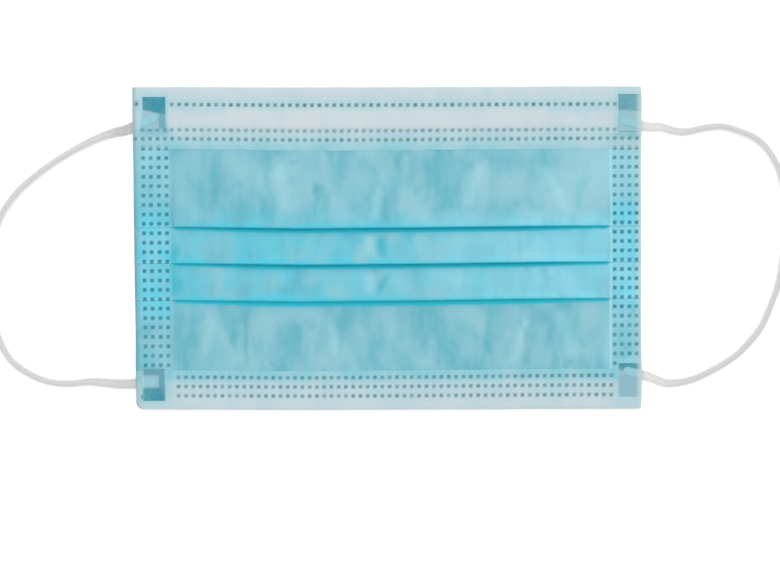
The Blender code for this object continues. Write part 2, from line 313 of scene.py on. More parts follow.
@dataclass
class WeldDots:
    """The rows and columns of small welds that hold the layers together."""

    welds: list[WeldSpot]
    pitch: float = 2.54 * MM
    row_pitch: float = 3.2245 * MM
    row_count: int = 24
    first_row: float = 34.0 * MM
    flat: float = 0.46 * MM
    rim: float = 0.84 * MM
    lone: tuple = ((-86.0 * MM, 49.5 * MM), (-84.7 * MM, -50.9 * MM))
    left_columns: tuple = (-84.1 * MM, -81.5 * MM, -78.75 * MM, -76.1 * MM)
    right_columns: tuple = (78.5 * MM, 81.0 * MM, 83.6 * MM, 86.0 * MM)
    nose_rows: tuple = (
        DotRow(49.3 * MM, -73.9 * MM, 78.5 * MM),
        DotRow(40.5 * MM, -84.06 * MM, 78.5 * MM, 0.7),
        DotRow(37.4 * MM, -86.6 * MM, 86.2 * MM, 0.86),
    )
    chin_rows: tuple = (
        DotRow(-44.3 * MM, -72.6 * MM, 79.8 * MM, 0.9),
        DotRow(-47.5 * MM, -72.6 * MM, 79.8 * MM, 0.85),
        DotRow(-50.7 * MM, -72.6 * MM, 79.8 * MM, 0.85),
    )
    weakest: float = 0.76
    seed: int = 11
    draws: tuple = (14, 96)
    first_band_draw: int = 4
    clear_by: float = 0.2 * MM

    def __post_init__(self) -> None:
        """Gives every dot its own strength, the same each time."""
        drawn = np.random.default_rng(self.seed).random(self.draws)
        self.strength = self.weakest + (1 - self.weakest) * drawn

    @property
    def rows(self) -> dict[End, tuple]:
        """The rows of each hem."""
        return {End.NOSE: self.nose_rows, End.CHIN: self.chin_rows}

    def rims(self, centres: Array) -> Array:
        """Lines through the rims, flats and centres of dots."""
        offsets = np.array([-self.rim, -self.flat, 0.0, self.flat, self.rim])
        return (np.asarray(centres)[:, None] + offsets[None, :]).ravel()

    def band_rows(self) -> Array:
        """Where the rows of the side bands lie."""
        return self.first_row - self.row_pitch * np.arange(self.row_count)

    def band_marks(self) -> Array:
        """Lines across the mask's width that the side bands' dots need."""
        return self.rims(np.array(self.left_columns + self.right_columns))

    def row_centres(self, row: DotRow) -> Array:
        """Where the dots of a hem's row lie across the width."""
        return np.arange(row.first, row.last + self.pitch / 2, self.pitch)

    def hem_marks(self, end: End) -> Array:
        """Lines across the mask's width that a hem's dots need.

        Args:
            end: The hem's end of the mask.

        Returns:
            Lines for its last row, and for the nose hem's first row, whose dots lie between.
        """
        rows = [self.rows[end][-1]]
        if end is End.NOSE:
            rows.append(self.rows[end][0])
        return self.rims(np.concatenate([self.row_centres(row) for row in rows]))

    def bump(self, dx: Array, dy: Array) -> Array:
        """1 on a dot's flat middle, falling to 0 at its rim, which is a square with round corners."""
        far = (np.abs(dx) ** 5 + np.abs(dy) ** 5) ** 0.2
        return np.clip((self.rim - far) / (self.rim - self.flat), 0.0, 1.0)

    def clear_of_welds(self, x: Array, y: Array) -> Array:
        """Tells where dots have room.

        Args:
            x: The dots' places across the width.
            y: Their places along the length.

        Returns:
            1 for each dot whose place no corner weld takes, otherwise 0.
        """
        clear = np.ones(np.broadcast(x, y).shape)
        for weld in self.welds:
            clear = clear * (weld.distance(x, y) > self.clear_by)
        return clear

    def on_hem(self, end: End, x: Array, y: Array) -> Array:
        """Presses a hem's dots into it.

        Args:
            end: The hem's end of the mask.
            x: Places across the width.
            y: Places along the length.

        Returns:
            How far each point is pressed, from 0 to 1.
        """
        total = np.zeros(np.broadcast(x, y).shape)
        for number, row in enumerate(self.rows[end]):
            index = np.round((x - row.first) / self.pitch)
            last = round((row.last - row.first) / self.pitch)
            inside = (index >= 0) & (index <= last)
            index = np.clip(index, 0, last).astype(int)
            centre = row.first + index * self.pitch
            picked = self.strength[number + len(self.nose_rows) * (end is End.CHIN), index]
            dot = self.bump(x - centre, y - row.y) * inside * picked * row.force
            total = np.maximum(total, dot * self.clear_of_welds(centre, np.full_like(centre, row.y)))
        for lone_x, lone_y in self.lone:
            total = np.maximum(total, self.bump(x - lone_x, y - lone_y))
        return total

    def on_bands(self, x: Array, y: Array) -> Array:
        """Presses the side bands' dots into the cloth.

        Args:
            x: Places across the width.
            y: Places along the length.

        Returns:
            How far each point is pressed, from 0 to 1.
        """
        index = np.round((self.first_row - y) / self.row_pitch)
        inside = (index >= 0) & (index < self.row_count)
        index = np.clip(index, 0, self.row_count - 1).astype(int)
        row = self.first_row - index * self.row_pitch
        total = np.zeros(np.broadcast(x, y).shape)
        for number, column in enumerate(self.left_columns + self.right_columns, self.first_band_draw):
            dot = self.bump(x - column, y - row) * inside * self.strength[number, index]
            total = np.maximum(total, dot * self.clear_of_welds(np.full_like(row, column), row))
        return total


@dataclass(frozen=True)
class Crease:
    """A soft ridge (or, with a negative height, a furrow) that runs up the cloth."""

    x: float
    low: float
    high: float
    width: float
    height: float
    slant: float = 0.0
    end_fade: float = 4.0 * MM

    def rise(self, x: Array, y: Array) -> Array:
        """Lifts the cloth along the crease.

        Args:
            x: Places across the width.
            y: Places along the length.

        Returns:
            How far the crease lifts each point.
        """
        middle = (self.low + self.high) / 2
        soft = min(self.end_fade, (self.high - self.low) / 2)
        fade = ease((y - self.low) / soft) * ease((self.high - y) / soft)
        return self.height * fade * bell(x - self.x - self.slant * (y - middle), self.width)


# Place across the width, low end, high end, width and height in millimetres, and slant.
CREASES = (
    (-3.6, 8.0, 22.0, 1.6, 0.34, 0.06),
    (-0.2, 9.0, 20.0, 1.3, -0.22, 0.05),
    (-5.7, -4.5, 6.5, 2.0, 0.36, -0.04),
    (-1.8, -3.8, 6.0, 1.4, -0.42, -0.08),
    (-5.5, -17.0, -6.0, 1.9, 0.36, 0.04),
    (-1.2, -17.0, -7.0, 1.2, -0.42, 0.42),
    (-49.0, -42.0, -22.0, 0.8, -0.32, 0.02),
    (-50.8, -41.0, -24.0, 1.5, 0.20, 0.02),
    (-18.5, -39.0, -20.0, 1.2, 0.26, -0.04),
    (46.0, -41.0, -23.0, 1.5, 0.34, 0.24),
    (49.4, -42.0, -28.0, 1.1, -0.26, 0.30),
    (62.0, -40.0, -20.0, 2.6, 0.30, -0.25),
    (-62.0, -38.0, -21.0, 2.4, 0.22, 0.18),
    (30.0, 12.0, 31.0, 2.2, 0.26, 0.35),
    (58.0, 10.0, 30.0, 2.4, 0.28, -0.45),
    (-36.0, 11.0, 31.0, 2.2, 0.24, -0.18),
    (-58.0, 12.0, 30.0, 2.0, -0.20, 0.30),
    (25.0, -16.0, 6.0, 1.8, 0.20, 0.05),
    (52.0, -15.0, 5.0, 1.8, 0.20, -0.08),
    (-72.7, -5.4, 1.5, 1.3, -0.40, 0.15),
    (-71.4, -17.5, -8.5, 1.3, -0.42, -0.12),
)


@dataclass
class Lie:
    """The heights that all layers share: loop ends under the corners, crinkles and creases."""

    cloth: Cloth
    welds: list[WeldSpot]
    creases: tuple
    corner_lift: float = 0.80 * MM
    corner_slope: float = 11.0 * MM
    crinkles: int = 30
    shortest: float = 7.0 * MM
    longest: float = 48.0 * MM
    turned: float = 0.45
    steepness: float = 0.0042
    deepest: float = 0.26 * MM
    raised: float = 0.22 * MM
    calmest: float = 0.22
    # Height of a crease at which its painted highlight or shade is full.
    full_paint_height: float = 0.42 * MM
    seed: int = 5

    def __post_init__(self) -> None:
        """Draws the crinkles, the same each time."""
        draw = np.random.default_rng(self.seed)
        lengths = draw.uniform(math.log(self.shortest), math.log(self.longest), self.crinkles)
        self.length = np.exp(lengths)
        self.angle = draw.normal(0.0, self.turned, self.crinkles)
        self.phase = draw.uniform(0.0, 2 * math.pi, self.crinkles)

    def height(self, x: Array, y: Array) -> Array:
        """Lays the cloth over what is under it.

        Args:
            x: Places across the width.
            y: Places along the length.

        Returns:
            How far the lie of the cloth lifts each point.
        """
        waves = np.zeros(np.broadcast(x, y).shape)
        for length, angle, phase in zip(self.length, self.angle, self.phase):
            along = (x * math.cos(angle) + y * math.sin(angle)) * 2 * math.pi / length
            waves = waves + self.steepness * length * np.sin(along + phase)
        open_cloth = ease(self.cloth.inner(x) / (6 * MM)) * ease((46 * MM - abs(y)) / (16 * MM))
        calm = self.calmest + (1 - self.calmest) * open_cloth
        lift = np.maximum(waves, -self.deepest) * calm + self.raised
        for crease in self.creases:
            lift = lift + crease.rise(x, y)
        for weld in self.welds:
            near = ease(1 - np.maximum(weld.distance(x, y), 0) / self.corner_slope)
            lift = lift + self.corner_lift * near
        return lift

    def crease_shade_and_pale_edge(self, x: Array, y: Array, ridges: bool) -> Array:
        """Finds where creases are painted: highlights along the ridges, partly the whitening of creased
        fibres, and shade in the furrows.

        Args:
            x: Places across the width.
            y: Places along the length.
            ridges: Whether to look along the ridges, which are pale, or in the furrows, which are dark.

        Returns:
            How strong the painted highlight or shade is there, from 0 to 1.
        """
        total = np.zeros(np.broadcast(x, y).shape)
        for crease in self.creases:
            if (crease.height > 0) == ridges:
                total = total + abs(crease.rise(x, y)) / self.full_paint_height
        return np.clip(total, 0, 1)


@dataclass(frozen=True)
class Pleat:
    """A fold of both layers, whose front edge faces the chin."""

    edge: float
    depth: float
    plies_under: float


@dataclass(frozen=True)
class Trace:
    """A layer's line from the chin to the nose, for each line across the width."""

    y: Array
    level: Array
    above: Array
    below: Array
    shade: Array
    plies: Array


@dataclass
class Laminate:
    """The line between the two layers of cloth, from hem to hem through the three pleats."""

    cloth: Cloth
    lie: Lie
    dots: WeldDots
    pleats: tuple = (
        Pleat(-18.0 * MM, 9.0 * MM, 0.0),
        Pleat(-5.4 * MM, 9.0 * MM, 0.9),
        Pleat(7.0 * MM, 9.0 * MM, 0.9),
    )
    band_spacing: float = 0.21 * MM
    beside_spacing: float = 0.80 * MM
    open_spacing: float = 1.28 * MM
    opens_over: float = 34.0 * MM
    base_lift: float = 0.25 * MM
    arc_points: int = 8
    middle_points: int = 4
    seen_past: float = 0.4 * MM
    shadow_lines: tuple = (0.05, 0.3, 0.6, 0.9, 1.3, 1.8, 2.4, 3.1)

    def spacing(self, x: Array) -> Array:
        """Height from ply to ply.

        Args:
            x: Places across the width.

        Returns:
            The height there, pressed in the side bands and open in the middle.
        """
        inner = self.cloth.inner(x)
        beside = (self.beside_spacing - self.band_spacing) * ease(inner / self.cloth.band_slope)
        opening = (self.open_spacing - self.beside_spacing) * ease(inner / self.opens_over)
        return self.band_spacing + beside + opening

    def base(self, x: Array) -> Array:
        """Height of the line where the cloth lies flat."""
        return self.cloth.rest + self.base_lift * ease(self.cloth.inner(x) / (2 * MM))

    def run_level(self, number: int, y: Array) -> Array:
        """Height of a long run above the base.

        Args:
            number: The run, where 0 is the lower panel.
            y: Places along the length.

        Returns:
            The height, in plies.
        """
        if number == 0:
            return np.zeros_like(y)
        pleat = self.pleats[number - 1]
        back = pleat.edge + pleat.depth
        knots, levels = [pleat.edge, back], [pleat.plies_under + 2.0, 2.0]
        if number < len(self.pleats):
            following = self.pleats[number]
            knots += [following.edge, following.edge + following.depth]
            levels += [following.plies_under, 0.0]
        else:
            knots += [back + 6.5 * MM, 29.0 * MM]
            levels += [0.75, 0.0]
        return curve_through(y, knots, levels)

    def trace(self, x: Array, first: float, last: float) -> Trace:
        """Follows the line through every pleat.

        Args:
            x: The lines across the width.
            first: Where the line starts, at the chin.
            last: Where it ends, at the nose.

        Returns:
            The line's points with what shows of them from above and below.
        """
        gap = self.spacing(x)[:, None]
        outside = self.cloth.layer + self.cloth.thickness / 2
        edge_reach = (self.cloth.loft(x) * outside)[:, None]
        widest = self.open_spacing / 2 + outside
        windows = [value for weld in self.lie.welds for value in (weld.low[1], weld.high[1])]
        rows = np.concatenate((self.dots.rims(self.dots.band_rows()), windows))
        strips, start = [], first
        for number, pleat in enumerate(self.pleats):
            back = pleat.edge + pleat.depth
            shadow = pleat.edge - np.array(self.shadow_lines) * MM
            lines = lines_between(np.concatenate((rows, shadow)), start, back - widest, LINE_STEP)
            strips.append(self.run(number, lines, gap))
            strips += self.fold(pleat, gap, edge_reach)
            start = pleat.edge + widest
        lines = lines_between(rows, start, last, LINE_STEP)
        strips.append(self.run(len(self.pleats), lines, gap))
        joined = {
            key: np.concatenate([getattr(strip, key) for strip in strips], axis=-1)
            for key in ("y", "level", "above", "below", "shade", "plies")
        }
        joined["level"] = joined["level"] * gap + self.base(x)[:, None]
        return Trace(**joined)

    def fold(self, pleat: Pleat, gap: Array, edge_reach: Array) -> list[Trace]:
        """The line from a pleat's back to its front.

        Args:
            pleat: The pleat.
            gap: Height from ply to ply, on each line.
            edge_reach: How far the outer layer lies past the line there.

        Returns:
            The back turn, the hidden ply and the front turn.
        """
        back_y = pleat.edge + pleat.depth - gap / 2 - edge_reach
        front_y = pleat.edge + gap / 2 + edge_reach
        share = np.linspace(0, 1, self.middle_points + 2)[None, 1:-1]
        hidden = np.zeros(self.middle_points)
        middle_y = back_y + (front_y - back_y) * share
        middle_level = (1.0 + pleat.plies_under * ease(share)) + 0 * gap
        blank = 0 * middle_y
        front = self.turn(front_y, 1.0 + pleat.plies_under, gap, -1)
        front.shade[:] *= self.opened(gap)
        middle = Trace(middle_y, middle_level, hidden, hidden, blank, blank + 1)
        return [self.turn(back_y, 0.0, gap, 1), middle, front]

    def opened(self, gap: Array) -> Array:
        """How far the plies stand open, from 0 in the side bands to 1 in the middle of the mask."""
        return (gap - self.band_spacing) / (self.open_spacing - self.band_spacing)

    def run(self, number: int, lines: Array, gap: Array) -> Trace:
        """A long run, between the front fold behind it and its own back fold.

        Args:
            number: The run, where 0 is the lower panel.
            lines: Where its points lie.
            gap: Height from ply to ply, on each line.

        Returns:
            The run's stretch of the line.
        """
        y = lines[None, :] + 0 * gap
        level = self.run_level(number, lines)[None, :] + 0 * gap
        edges = [pleat.edge for pleat in self.pleats] + [math.inf]
        backs = [-math.inf] + [pleat.edge + pleat.depth for pleat in self.pleats]
        above = (lines < edges[number] + self.seen_past).astype(float)
        below = (lines > backs[number] - self.seen_past).astype(float)
        shade, plies = self.run_paint(number, y, self.opened(gap))
        return Trace(y, level, above, below, shade, plies)

    def run_paint(self, number: int, y: Array, opened: Array) -> tuple[Array, Array]:
        """Works out the painted shadow under a fold, the painted shade that deepens the blue just ahead of
        it, and where plies beneath deepen the colour.

        Args:
            number: The run, where 0 is the lower panel.
            y: Its points' places along the length.
            opened: How far the plies stand open, from 0 to 1.

        Returns:
            The shadow and the depth of colour at each point, both from 0 to 1.
        """
        shade, plies = np.zeros_like(y), np.zeros_like(y)
        if number < len(self.pleats):
            before_fold = self.pleats[number].edge - y
            under = ease(2.3 - before_fold / (0.95 * MM * (0.22 + 0.78 * opened)))
            shade = under * ease(opened * 2.5) * (0.80 + 0.20 * ease(opened * 1.2))
            # Painted shade: a deeper blue just ahead of the fold, with no plies beneath it.
            plies = 0.55 * ease(1 - before_fold / (5 * MM))
        if number > 0:
            past_fold = y - self.pleats[number - 1].edge
            plies = np.maximum(plies, 0.85 - 0.45 * ease((past_fold - 0.8 * MM) / (2.4 * MM)))
            front = ease(1 - (past_fold - 0.85 * MM) / (0.55 * MM))
            shade = np.maximum(shade, 0.35 * front * ease(opened * 1.6))
            if number == len(self.pleats):
                plies = 0.78 * plies * ease(1 - (past_fold - 3 * MM) / (6 * MM))
            else:
                plies = np.maximum(plies, 0.5)
        return shade, plies

    def turn(self, centre: Array, level: float, gap: Array, way: int) -> Trace:
        """A half turn up to the next ply.

        Args:
            centre: Where the turn's centre lies along the length.
            level: The height that it starts from, in plies.
            gap: Height from ply to ply, on each line.
            way: 1 at the back of a pleat, -1 at its front.

        Returns:
            The turn's stretch of the line.
        """
        angle = np.linspace(-math.pi / 2, math.pi / 2, self.arc_points)[None, :]
        y = centre + way * gap / 2 * np.cos(angle)
        height = level + 0.5 + 0.5 * np.sin(angle) + 0 * gap
        seen = np.zeros(self.arc_points)
        front = (np.sin(angle) > -0.2) * (way < 0)
        steep = ease((np.cos(angle) - 0.25) / 0.6) * front + 0 * gap
        return Trace(y, height, (np.sin(angle[0]) > 0.3) * (way < 0) * 1.0, seen, steep, 0 * y + 1)


def clear_selection() -> None:
    """Deselects everything, so that an operator acts on its own piece alone."""
    bpy.ops.object.select_all(action="DESELECT")


def smooth(piece: Piece, sharp_from: float) -> None:
    """Shades a piece smooth, but for its sharp edges.

    Args:
        piece: The piece, which is left selected and active.
        sharp_from: The least angle of an edge that stays sharp, in degrees.
    """
    clear_selection()
    piece.select_set(True)
    bpy.context.view_layer.objects.active = piece
    bpy.ops.object.shade_smooth_by_angle(angle=math.radians(sharp_from))


def paint_points(mesh: bpy.types.Mesh, name: str, values: Array) -> None:
    """Stores a painted value for each point of a mesh."""
    attribute = mesh.attributes.new(name, "FLOAT", "POINT")
    attribute.data.foreach_set("value", np.asarray(values).astype(np.float32).ravel())


def add_piece(name: str, mesh: bpy.types.Mesh, sharp_from: float) -> Piece:
    """Adds a mesh to the scene as a piece with smooth shading.

    Args:
        name: The piece's name.
        mesh: Its mesh.
        sharp_from: The least angle of an edge that stays sharp, in degrees.

    Returns:
        The piece.
    """
    piece = bpy.data.objects.new(name, mesh)
    bpy.context.scene.collection.objects.link(piece)
    smooth(piece, sharp_from)
    return piece


@dataclass
class ClothMesh:
    """Turns a grid of points into a sheet of cloth with a wall, a map and painted values.

    The points have a row for each line across the width. u and v are the lines' places in the cut cloth.
    """

    name: str
    points: Array
    u: Array
    v: Array

    def __post_init__(self) -> None:
        """Starts with nothing painted and no window open."""
        wide, long = self.points.shape[:2]
        self.values: dict[str, Array] = {}
        self.open_quads = np.zeros((wide - 1, long - 1), dtype=bool)

    def paint(self, name: str, values: Array) -> None:
        """Adds a value between 0 and 1 to each point."""
        self.values[name] = np.broadcast_to(values, self.points.shape[:2])

    def open_window(self, weld: WeldSpot, x: Array, y: Array) -> None:
        """Leaves out the faces in a weld's window, by the place of their middles.

        Args:
            weld: The weld.
            x: Place of each line across the width.
            y: Place of each point along the length.
        """
        middle_x = (x[1:, None] + x[:-1, None]) / 2
        middle_y = (y[1:, 1:] + y[:-1, 1:] + y[1:, :-1] + y[:-1, :-1]) / 4
        self.open_quads |= weld.distance(middle_x, middle_y) < 0

    def build(self, thickness: Array) -> Piece:
        """Makes the sheet's object: an outer and an inner face, and walls along every free edge.

        Args:
            thickness: The cloth's thickness at each point.

        Returns:
            The finished sheet.
        """
        wide, long = self.points.shape[:2]
        index = np.arange(wide * long).reshape(wide, long)
        quads = np.stack((index[:-1, :-1], index[1:, :-1], index[1:, 1:], index[:-1, 1:]), axis=-1)
        quads = quads[~self.open_quads]
        used = np.unique(quads)
        fresh = np.full(wide * long, -1)
        fresh[used] = np.arange(len(used))
        quads = fresh[quads]
        normals = np.cross(np.gradient(self.points, axis=0), np.gradient(self.points, axis=1))
        normals = normals / np.linalg.norm(normals, axis=-1, keepdims=True)
        half = normals * np.broadcast_to(thickness, (wide, long))[..., None] / 2
        outer = (self.points + half).reshape(-1, 3)[used]
        inner = (self.points - half).reshape(-1, 3)[used]
        faces = np.concatenate((quads, quads[:, ::-1] + len(used), self.walls(quads, len(used))))
        mesh = bpy.data.meshes.new(self.name)
        mesh.from_pydata(np.concatenate((outer, inner)).tolist(), [], faces.tolist())
        u_all = np.tile(np.broadcast_to(self.u[:, None], (wide, long)).ravel()[used], 2)
        v_all = np.tile(np.broadcast_to(self.v[None, :], (wide, long)).ravel()[used], 2)
        pairs = np.stack((u_all[faces.ravel()], v_all[faces.ravel()]), axis=-1)
        mesh.uv_layers.new(name="cut").data.foreach_set("uv", pairs.astype(np.float32).ravel())
        for name, values in self.values.items():
            paint_points(mesh, name, np.tile(values.ravel()[used], 2))
        return add_piece(self.name, mesh, 50)

    @staticmethod
    def walls(quads: Array, count: int) -> Array:
        """Finds the edges that belong to one face alone and closes the cloth's thickness there.

        Args:
            quads: The outer faces.
            count: How many points the outer side has, before the inner side's.

        Returns:
            A face for each free edge.
        """
        edges = np.concatenate([quads[:, [k, (k + 1) % 4]] for k in range(4)])
        keys = edges.min(axis=1) * count + edges.max(axis=1)
        _, first, times = np.unique(keys, return_index=True, return_counts=True)
        free = edges[first[times == 1]]
        return np.stack((free[:, 0], free[:, 0] + count, free[:, 1] + count, free[:, 1]), axis=-1)


class Board:
    """A node tree with short calls, for a material or for a node group."""

    def __init__(self, tree: bpy.types.NodeTree) -> None:
        """Takes the tree to build in."""
        self.tree = tree

    def add(self, kind: str, **settings: object) -> Node:
        """Adds a node and sets its properties.

        Args:
            kind: Its type.
            **settings: Its properties by name.

        Returns:
            The node.
        """
        node = self.tree.nodes.new(kind)
        for key, value in settings.items():
            setattr(node, key, value)
        return node

    def feed(self, node: Node, **inputs: object) -> Node:
        """Sets or links a node's inputs.

        Args:
            node: The node.
            **inputs: Numbers, colours or sockets, by input name with underscores for spaces.

        Returns:
            The same node.
        """
        for key, value in inputs.items():
            self.plug(node.inputs[key.replace("_", " ")], value)
        return node

    def fill(self, node: Node, places: range | tuple, values: tuple) -> Node:
        """Sets or links a node's inputs by their numbers.

        Args:
            node: The node.
            places: The inputs' numbers.
            values: Numbers, colours or sockets, in the same order.

        Returns:
            The same node.
        """
        for place, value in zip(places, values):
            self.plug(node.inputs[place], value)
        return node

    def plug(self, socket: Socket, value: object) -> None:
        """Links a socket to another, or sets its number.

        Args:
            socket: The input.
            value: The output to link it to, or the number or colour that it takes.
        """
        if isinstance(value, Socket):
            self.tree.links.new(value, socket)
        else:
            socket.default_value = value

    def math(self, operation: str, *values: object, clamp: bool = False) -> Socket:
        """A Math node's result, kept between 0 and 1 if it is clamped."""
        node = self.add("ShaderNodeMath", operation=operation, use_clamp=clamp)
        return self.fill(node, range(len(values)), values).outputs[0]

    def times(self, first: object, second: object) -> Socket:
        """The product of two values."""
        return self.math("MULTIPLY", first, second)

    def ramp(self, value: object, low: float, high: float, to: tuple = (0.0, 1.0)) -> Socket:
        """A smooth step of a value between two limits, and the results below and above them."""
        node = self.add("ShaderNodeMapRange", interpolation_type="SMOOTHSTEP")
        return self.fill(node, range(5), (value, low, high, *to)).outputs[0]

    def mix(self, share: object, low: object, high: object) -> Socket:
        """A mix of two colours, with the given share of the second."""
        node = self.add("ShaderNodeMix", data_type="RGBA")
        return self.fill(node, (0, 6, 7), (share, low, high)).outputs[2]

    def noise(self, vector: object, scale: float, detail: float = 3.0, warp: float = 0.0) -> object:
        """A noise texture's value, with so many cells to a metre and so many finer layers."""
        node = self.add("ShaderNodeTexNoise")
        return self.feed(node, Vector=vector, Scale=scale, Detail=detail, Distortion=warp).outputs[0]

    def stretched(self, vector: object, scale: tuple, turn: float = 0.0) -> Socket:
        """Coordinates stretched along each axis and turned round the third, by a Mapping node."""
        node = self.add("ShaderNodeMapping")
        return self.feed(node, Vector=vector, Scale=scale, Rotation=(0.0, 0.0, turn)).outputs[0]

    def painted(self, name: str) -> Socket:
        """A value painted on the mesh."""
        return self.add("ShaderNodeAttribute", attribute_name=name).outputs["Fac"]

    def cut(self) -> Socket:
        """The place in the cut cloth, in metres."""
        return self.add("ShaderNodeUVMap", uv_map="cut").outputs["UV"]

    def place(self) -> Socket:
        """The place on the piece, in metres."""
        return self.add("ShaderNodeTexCoord").outputs["Object"]

    def bump(self, shader: Node, height: object, strength: float, depth: float) -> None:
        """Gives a shader a fine relief.

        Args:
            shader: The shader.
            height: The relief's height, from 0 to 1.
            strength: How much of it shows.
            depth: Its depth in metres.
        """
        relief = self.add("ShaderNodeBump")
        self.feed(relief, Height=height, Strength=strength, Distance=depth)
        self.plug(shader.inputs["Normal"], relief.outputs["Normal"])


def colour(red: int, green: int, blue: int) -> tuple[float, float, float, float]:
    """A colour as a shader takes it, from the red, green and blue of a picture."""
    parts = [value / 255 for value in (red, green, blue)]
    return (*[p / 12.92 if p <= 0.04045 else ((p + 0.055) / 1.055) ** 2.4 for p in parts], 1.0)


def new_material(name: str) -> tuple[Material, Board, Node]:
    """Starts a material.

    Args:
        name: The material's name.

    Returns:
        The material, the board of its nodes and its shader.
    """
    made = bpy.data.materials.new(name)
    made.use_nodes = True
    return made, Board(made.node_tree), made.node_tree.nodes["Principled BSDF"]


def new_group(name: str, inputs: dict[str, str], outputs: tuple[str, ...]) -> tuple[Board, object, object]:
    """Starts a node group of values.

    Args:
        name: The group's name.
        inputs: Each input's name and socket type.
        outputs: The names of its outputs, all plain values.

    Returns:
        The group's board with its input and output nodes.
    """
    tree = bpy.data.node_groups.new(name, "ShaderNodeTree")
    for label, kind in inputs.items():
        tree.interface.new_socket(label, in_out="INPUT", socket_type=kind)
    for label in outputs:
        tree.interface.new_socket(label, in_out="OUTPUT", socket_type="NodeSocketFloat")
    board = Board(tree)
    return board, board.add("NodeGroupInput"), board.add("NodeGroupOutput")


class Effects:
    """The node groups that several finishes share."""

    def __init__(self) -> None:
        """Builds each group once."""
        self.bonds = self.point_bonds()
        self.web = self.fibre_web()

    def add_web(self, board: Board, vector: object) -> Node:
        """Places the fibre web on a material's board, on the coordinates given."""
        return board.feed(board.add("ShaderNodeGroup", node_tree=self.web), Vector=vector)

    def add_bonds(self, board: Board, pitch: float) -> Socket:
        """Places the point bonds on a material's board, on the cut cloth, and gives their mask."""
        bonds = board.add("ShaderNodeGroup", node_tree=self.bonds)
        return board.feed(bonds, Vector=board.cut(), Pitch=pitch).outputs["Mask"]

    def point_bonds(self) -> bpy.types.NodeTree:
        """Builds the fine lattice of points where nonwoven cloth is bonded.

        Returns:
            The group, whose mask is 1 on the bonds.
        """
        sockets = {"Vector": "NodeSocketVector", "Pitch": "NodeSocketFloat"}
        board, given, out = new_group("point bonds", sockets, ("Mask",))
        split = board.add("ShaderNodeSeparateXYZ")
        board.plug(split.inputs[0], given.outputs["Vector"])
        waves = []
        for axis in (0, 1):
            turns = board.math("DIVIDE", split.outputs[axis], given.outputs["Pitch"])
            waves.append(board.math("COSINE", board.times(turns, 2 * math.pi)))
        board.plug(out.inputs["Mask"], board.ramp(board.times(*waves), 0.35, 0.85))
        return board.tree

    def fibre_web(self) -> bpy.types.NodeTree:
        """Builds laid fibres, and the clouds, pools, streaks and tufts of a thicker and thinner web.

        Returns:
            The group, with a value from 0 to 1 for each of them.
        """
        # Scale along each axis, turn, detail, warp, and the noise values that give 0 and 1.
        blots = {
            "Clouds": ((78.0, 46.0, 1.0), 0.0, 4.0, 0.3, (0.34, 0.66)),
            "Pools": ((110.0, 70.0, 1.0), 0.2, 4.0, 0.4, (0.55, 0.75)),
            "Streaks": ((230.0, 75.0, 1.0), 0.12, 3.0, 0.2, (0.40, 0.68)),
            "Tufts": ((130.0, 90.0, 1.0), -0.2, 3.0, 0.2, (0.40, 0.66)),
        }
        board, given, out = new_group("fibre web", {"Vector": "NodeSocketVector"}, ("Fibres", *blots))
        vector = given.outputs["Vector"]
        fibres = []
        for turn in (0.5, -0.7, 1.4):
            noise = board.noise(board.stretched(vector, (900.0, 5200.0, 1.0), turn), 1.0, 2.0)
            ridge = board.math("ABSOLUTE", board.math("SUBTRACT", noise, 0.5))
            fibres.append(board.ramp(ridge, 0.0, 0.07, (1.0, 0.0)))
        top = board.math("MAXIMUM", board.math("MAXIMUM", fibres[0], fibres[1]), fibres[2])
        board.plug(out.inputs["Fibres"], top)
        for name, (scale, turn, detail, warp, limits) in blots.items():
            blot = board.noise(board.stretched(vector, scale, turn), 1.0, detail, warp)
            board.plug(out.inputs[name], board.ramp(blot, *limits))
        return board.tree


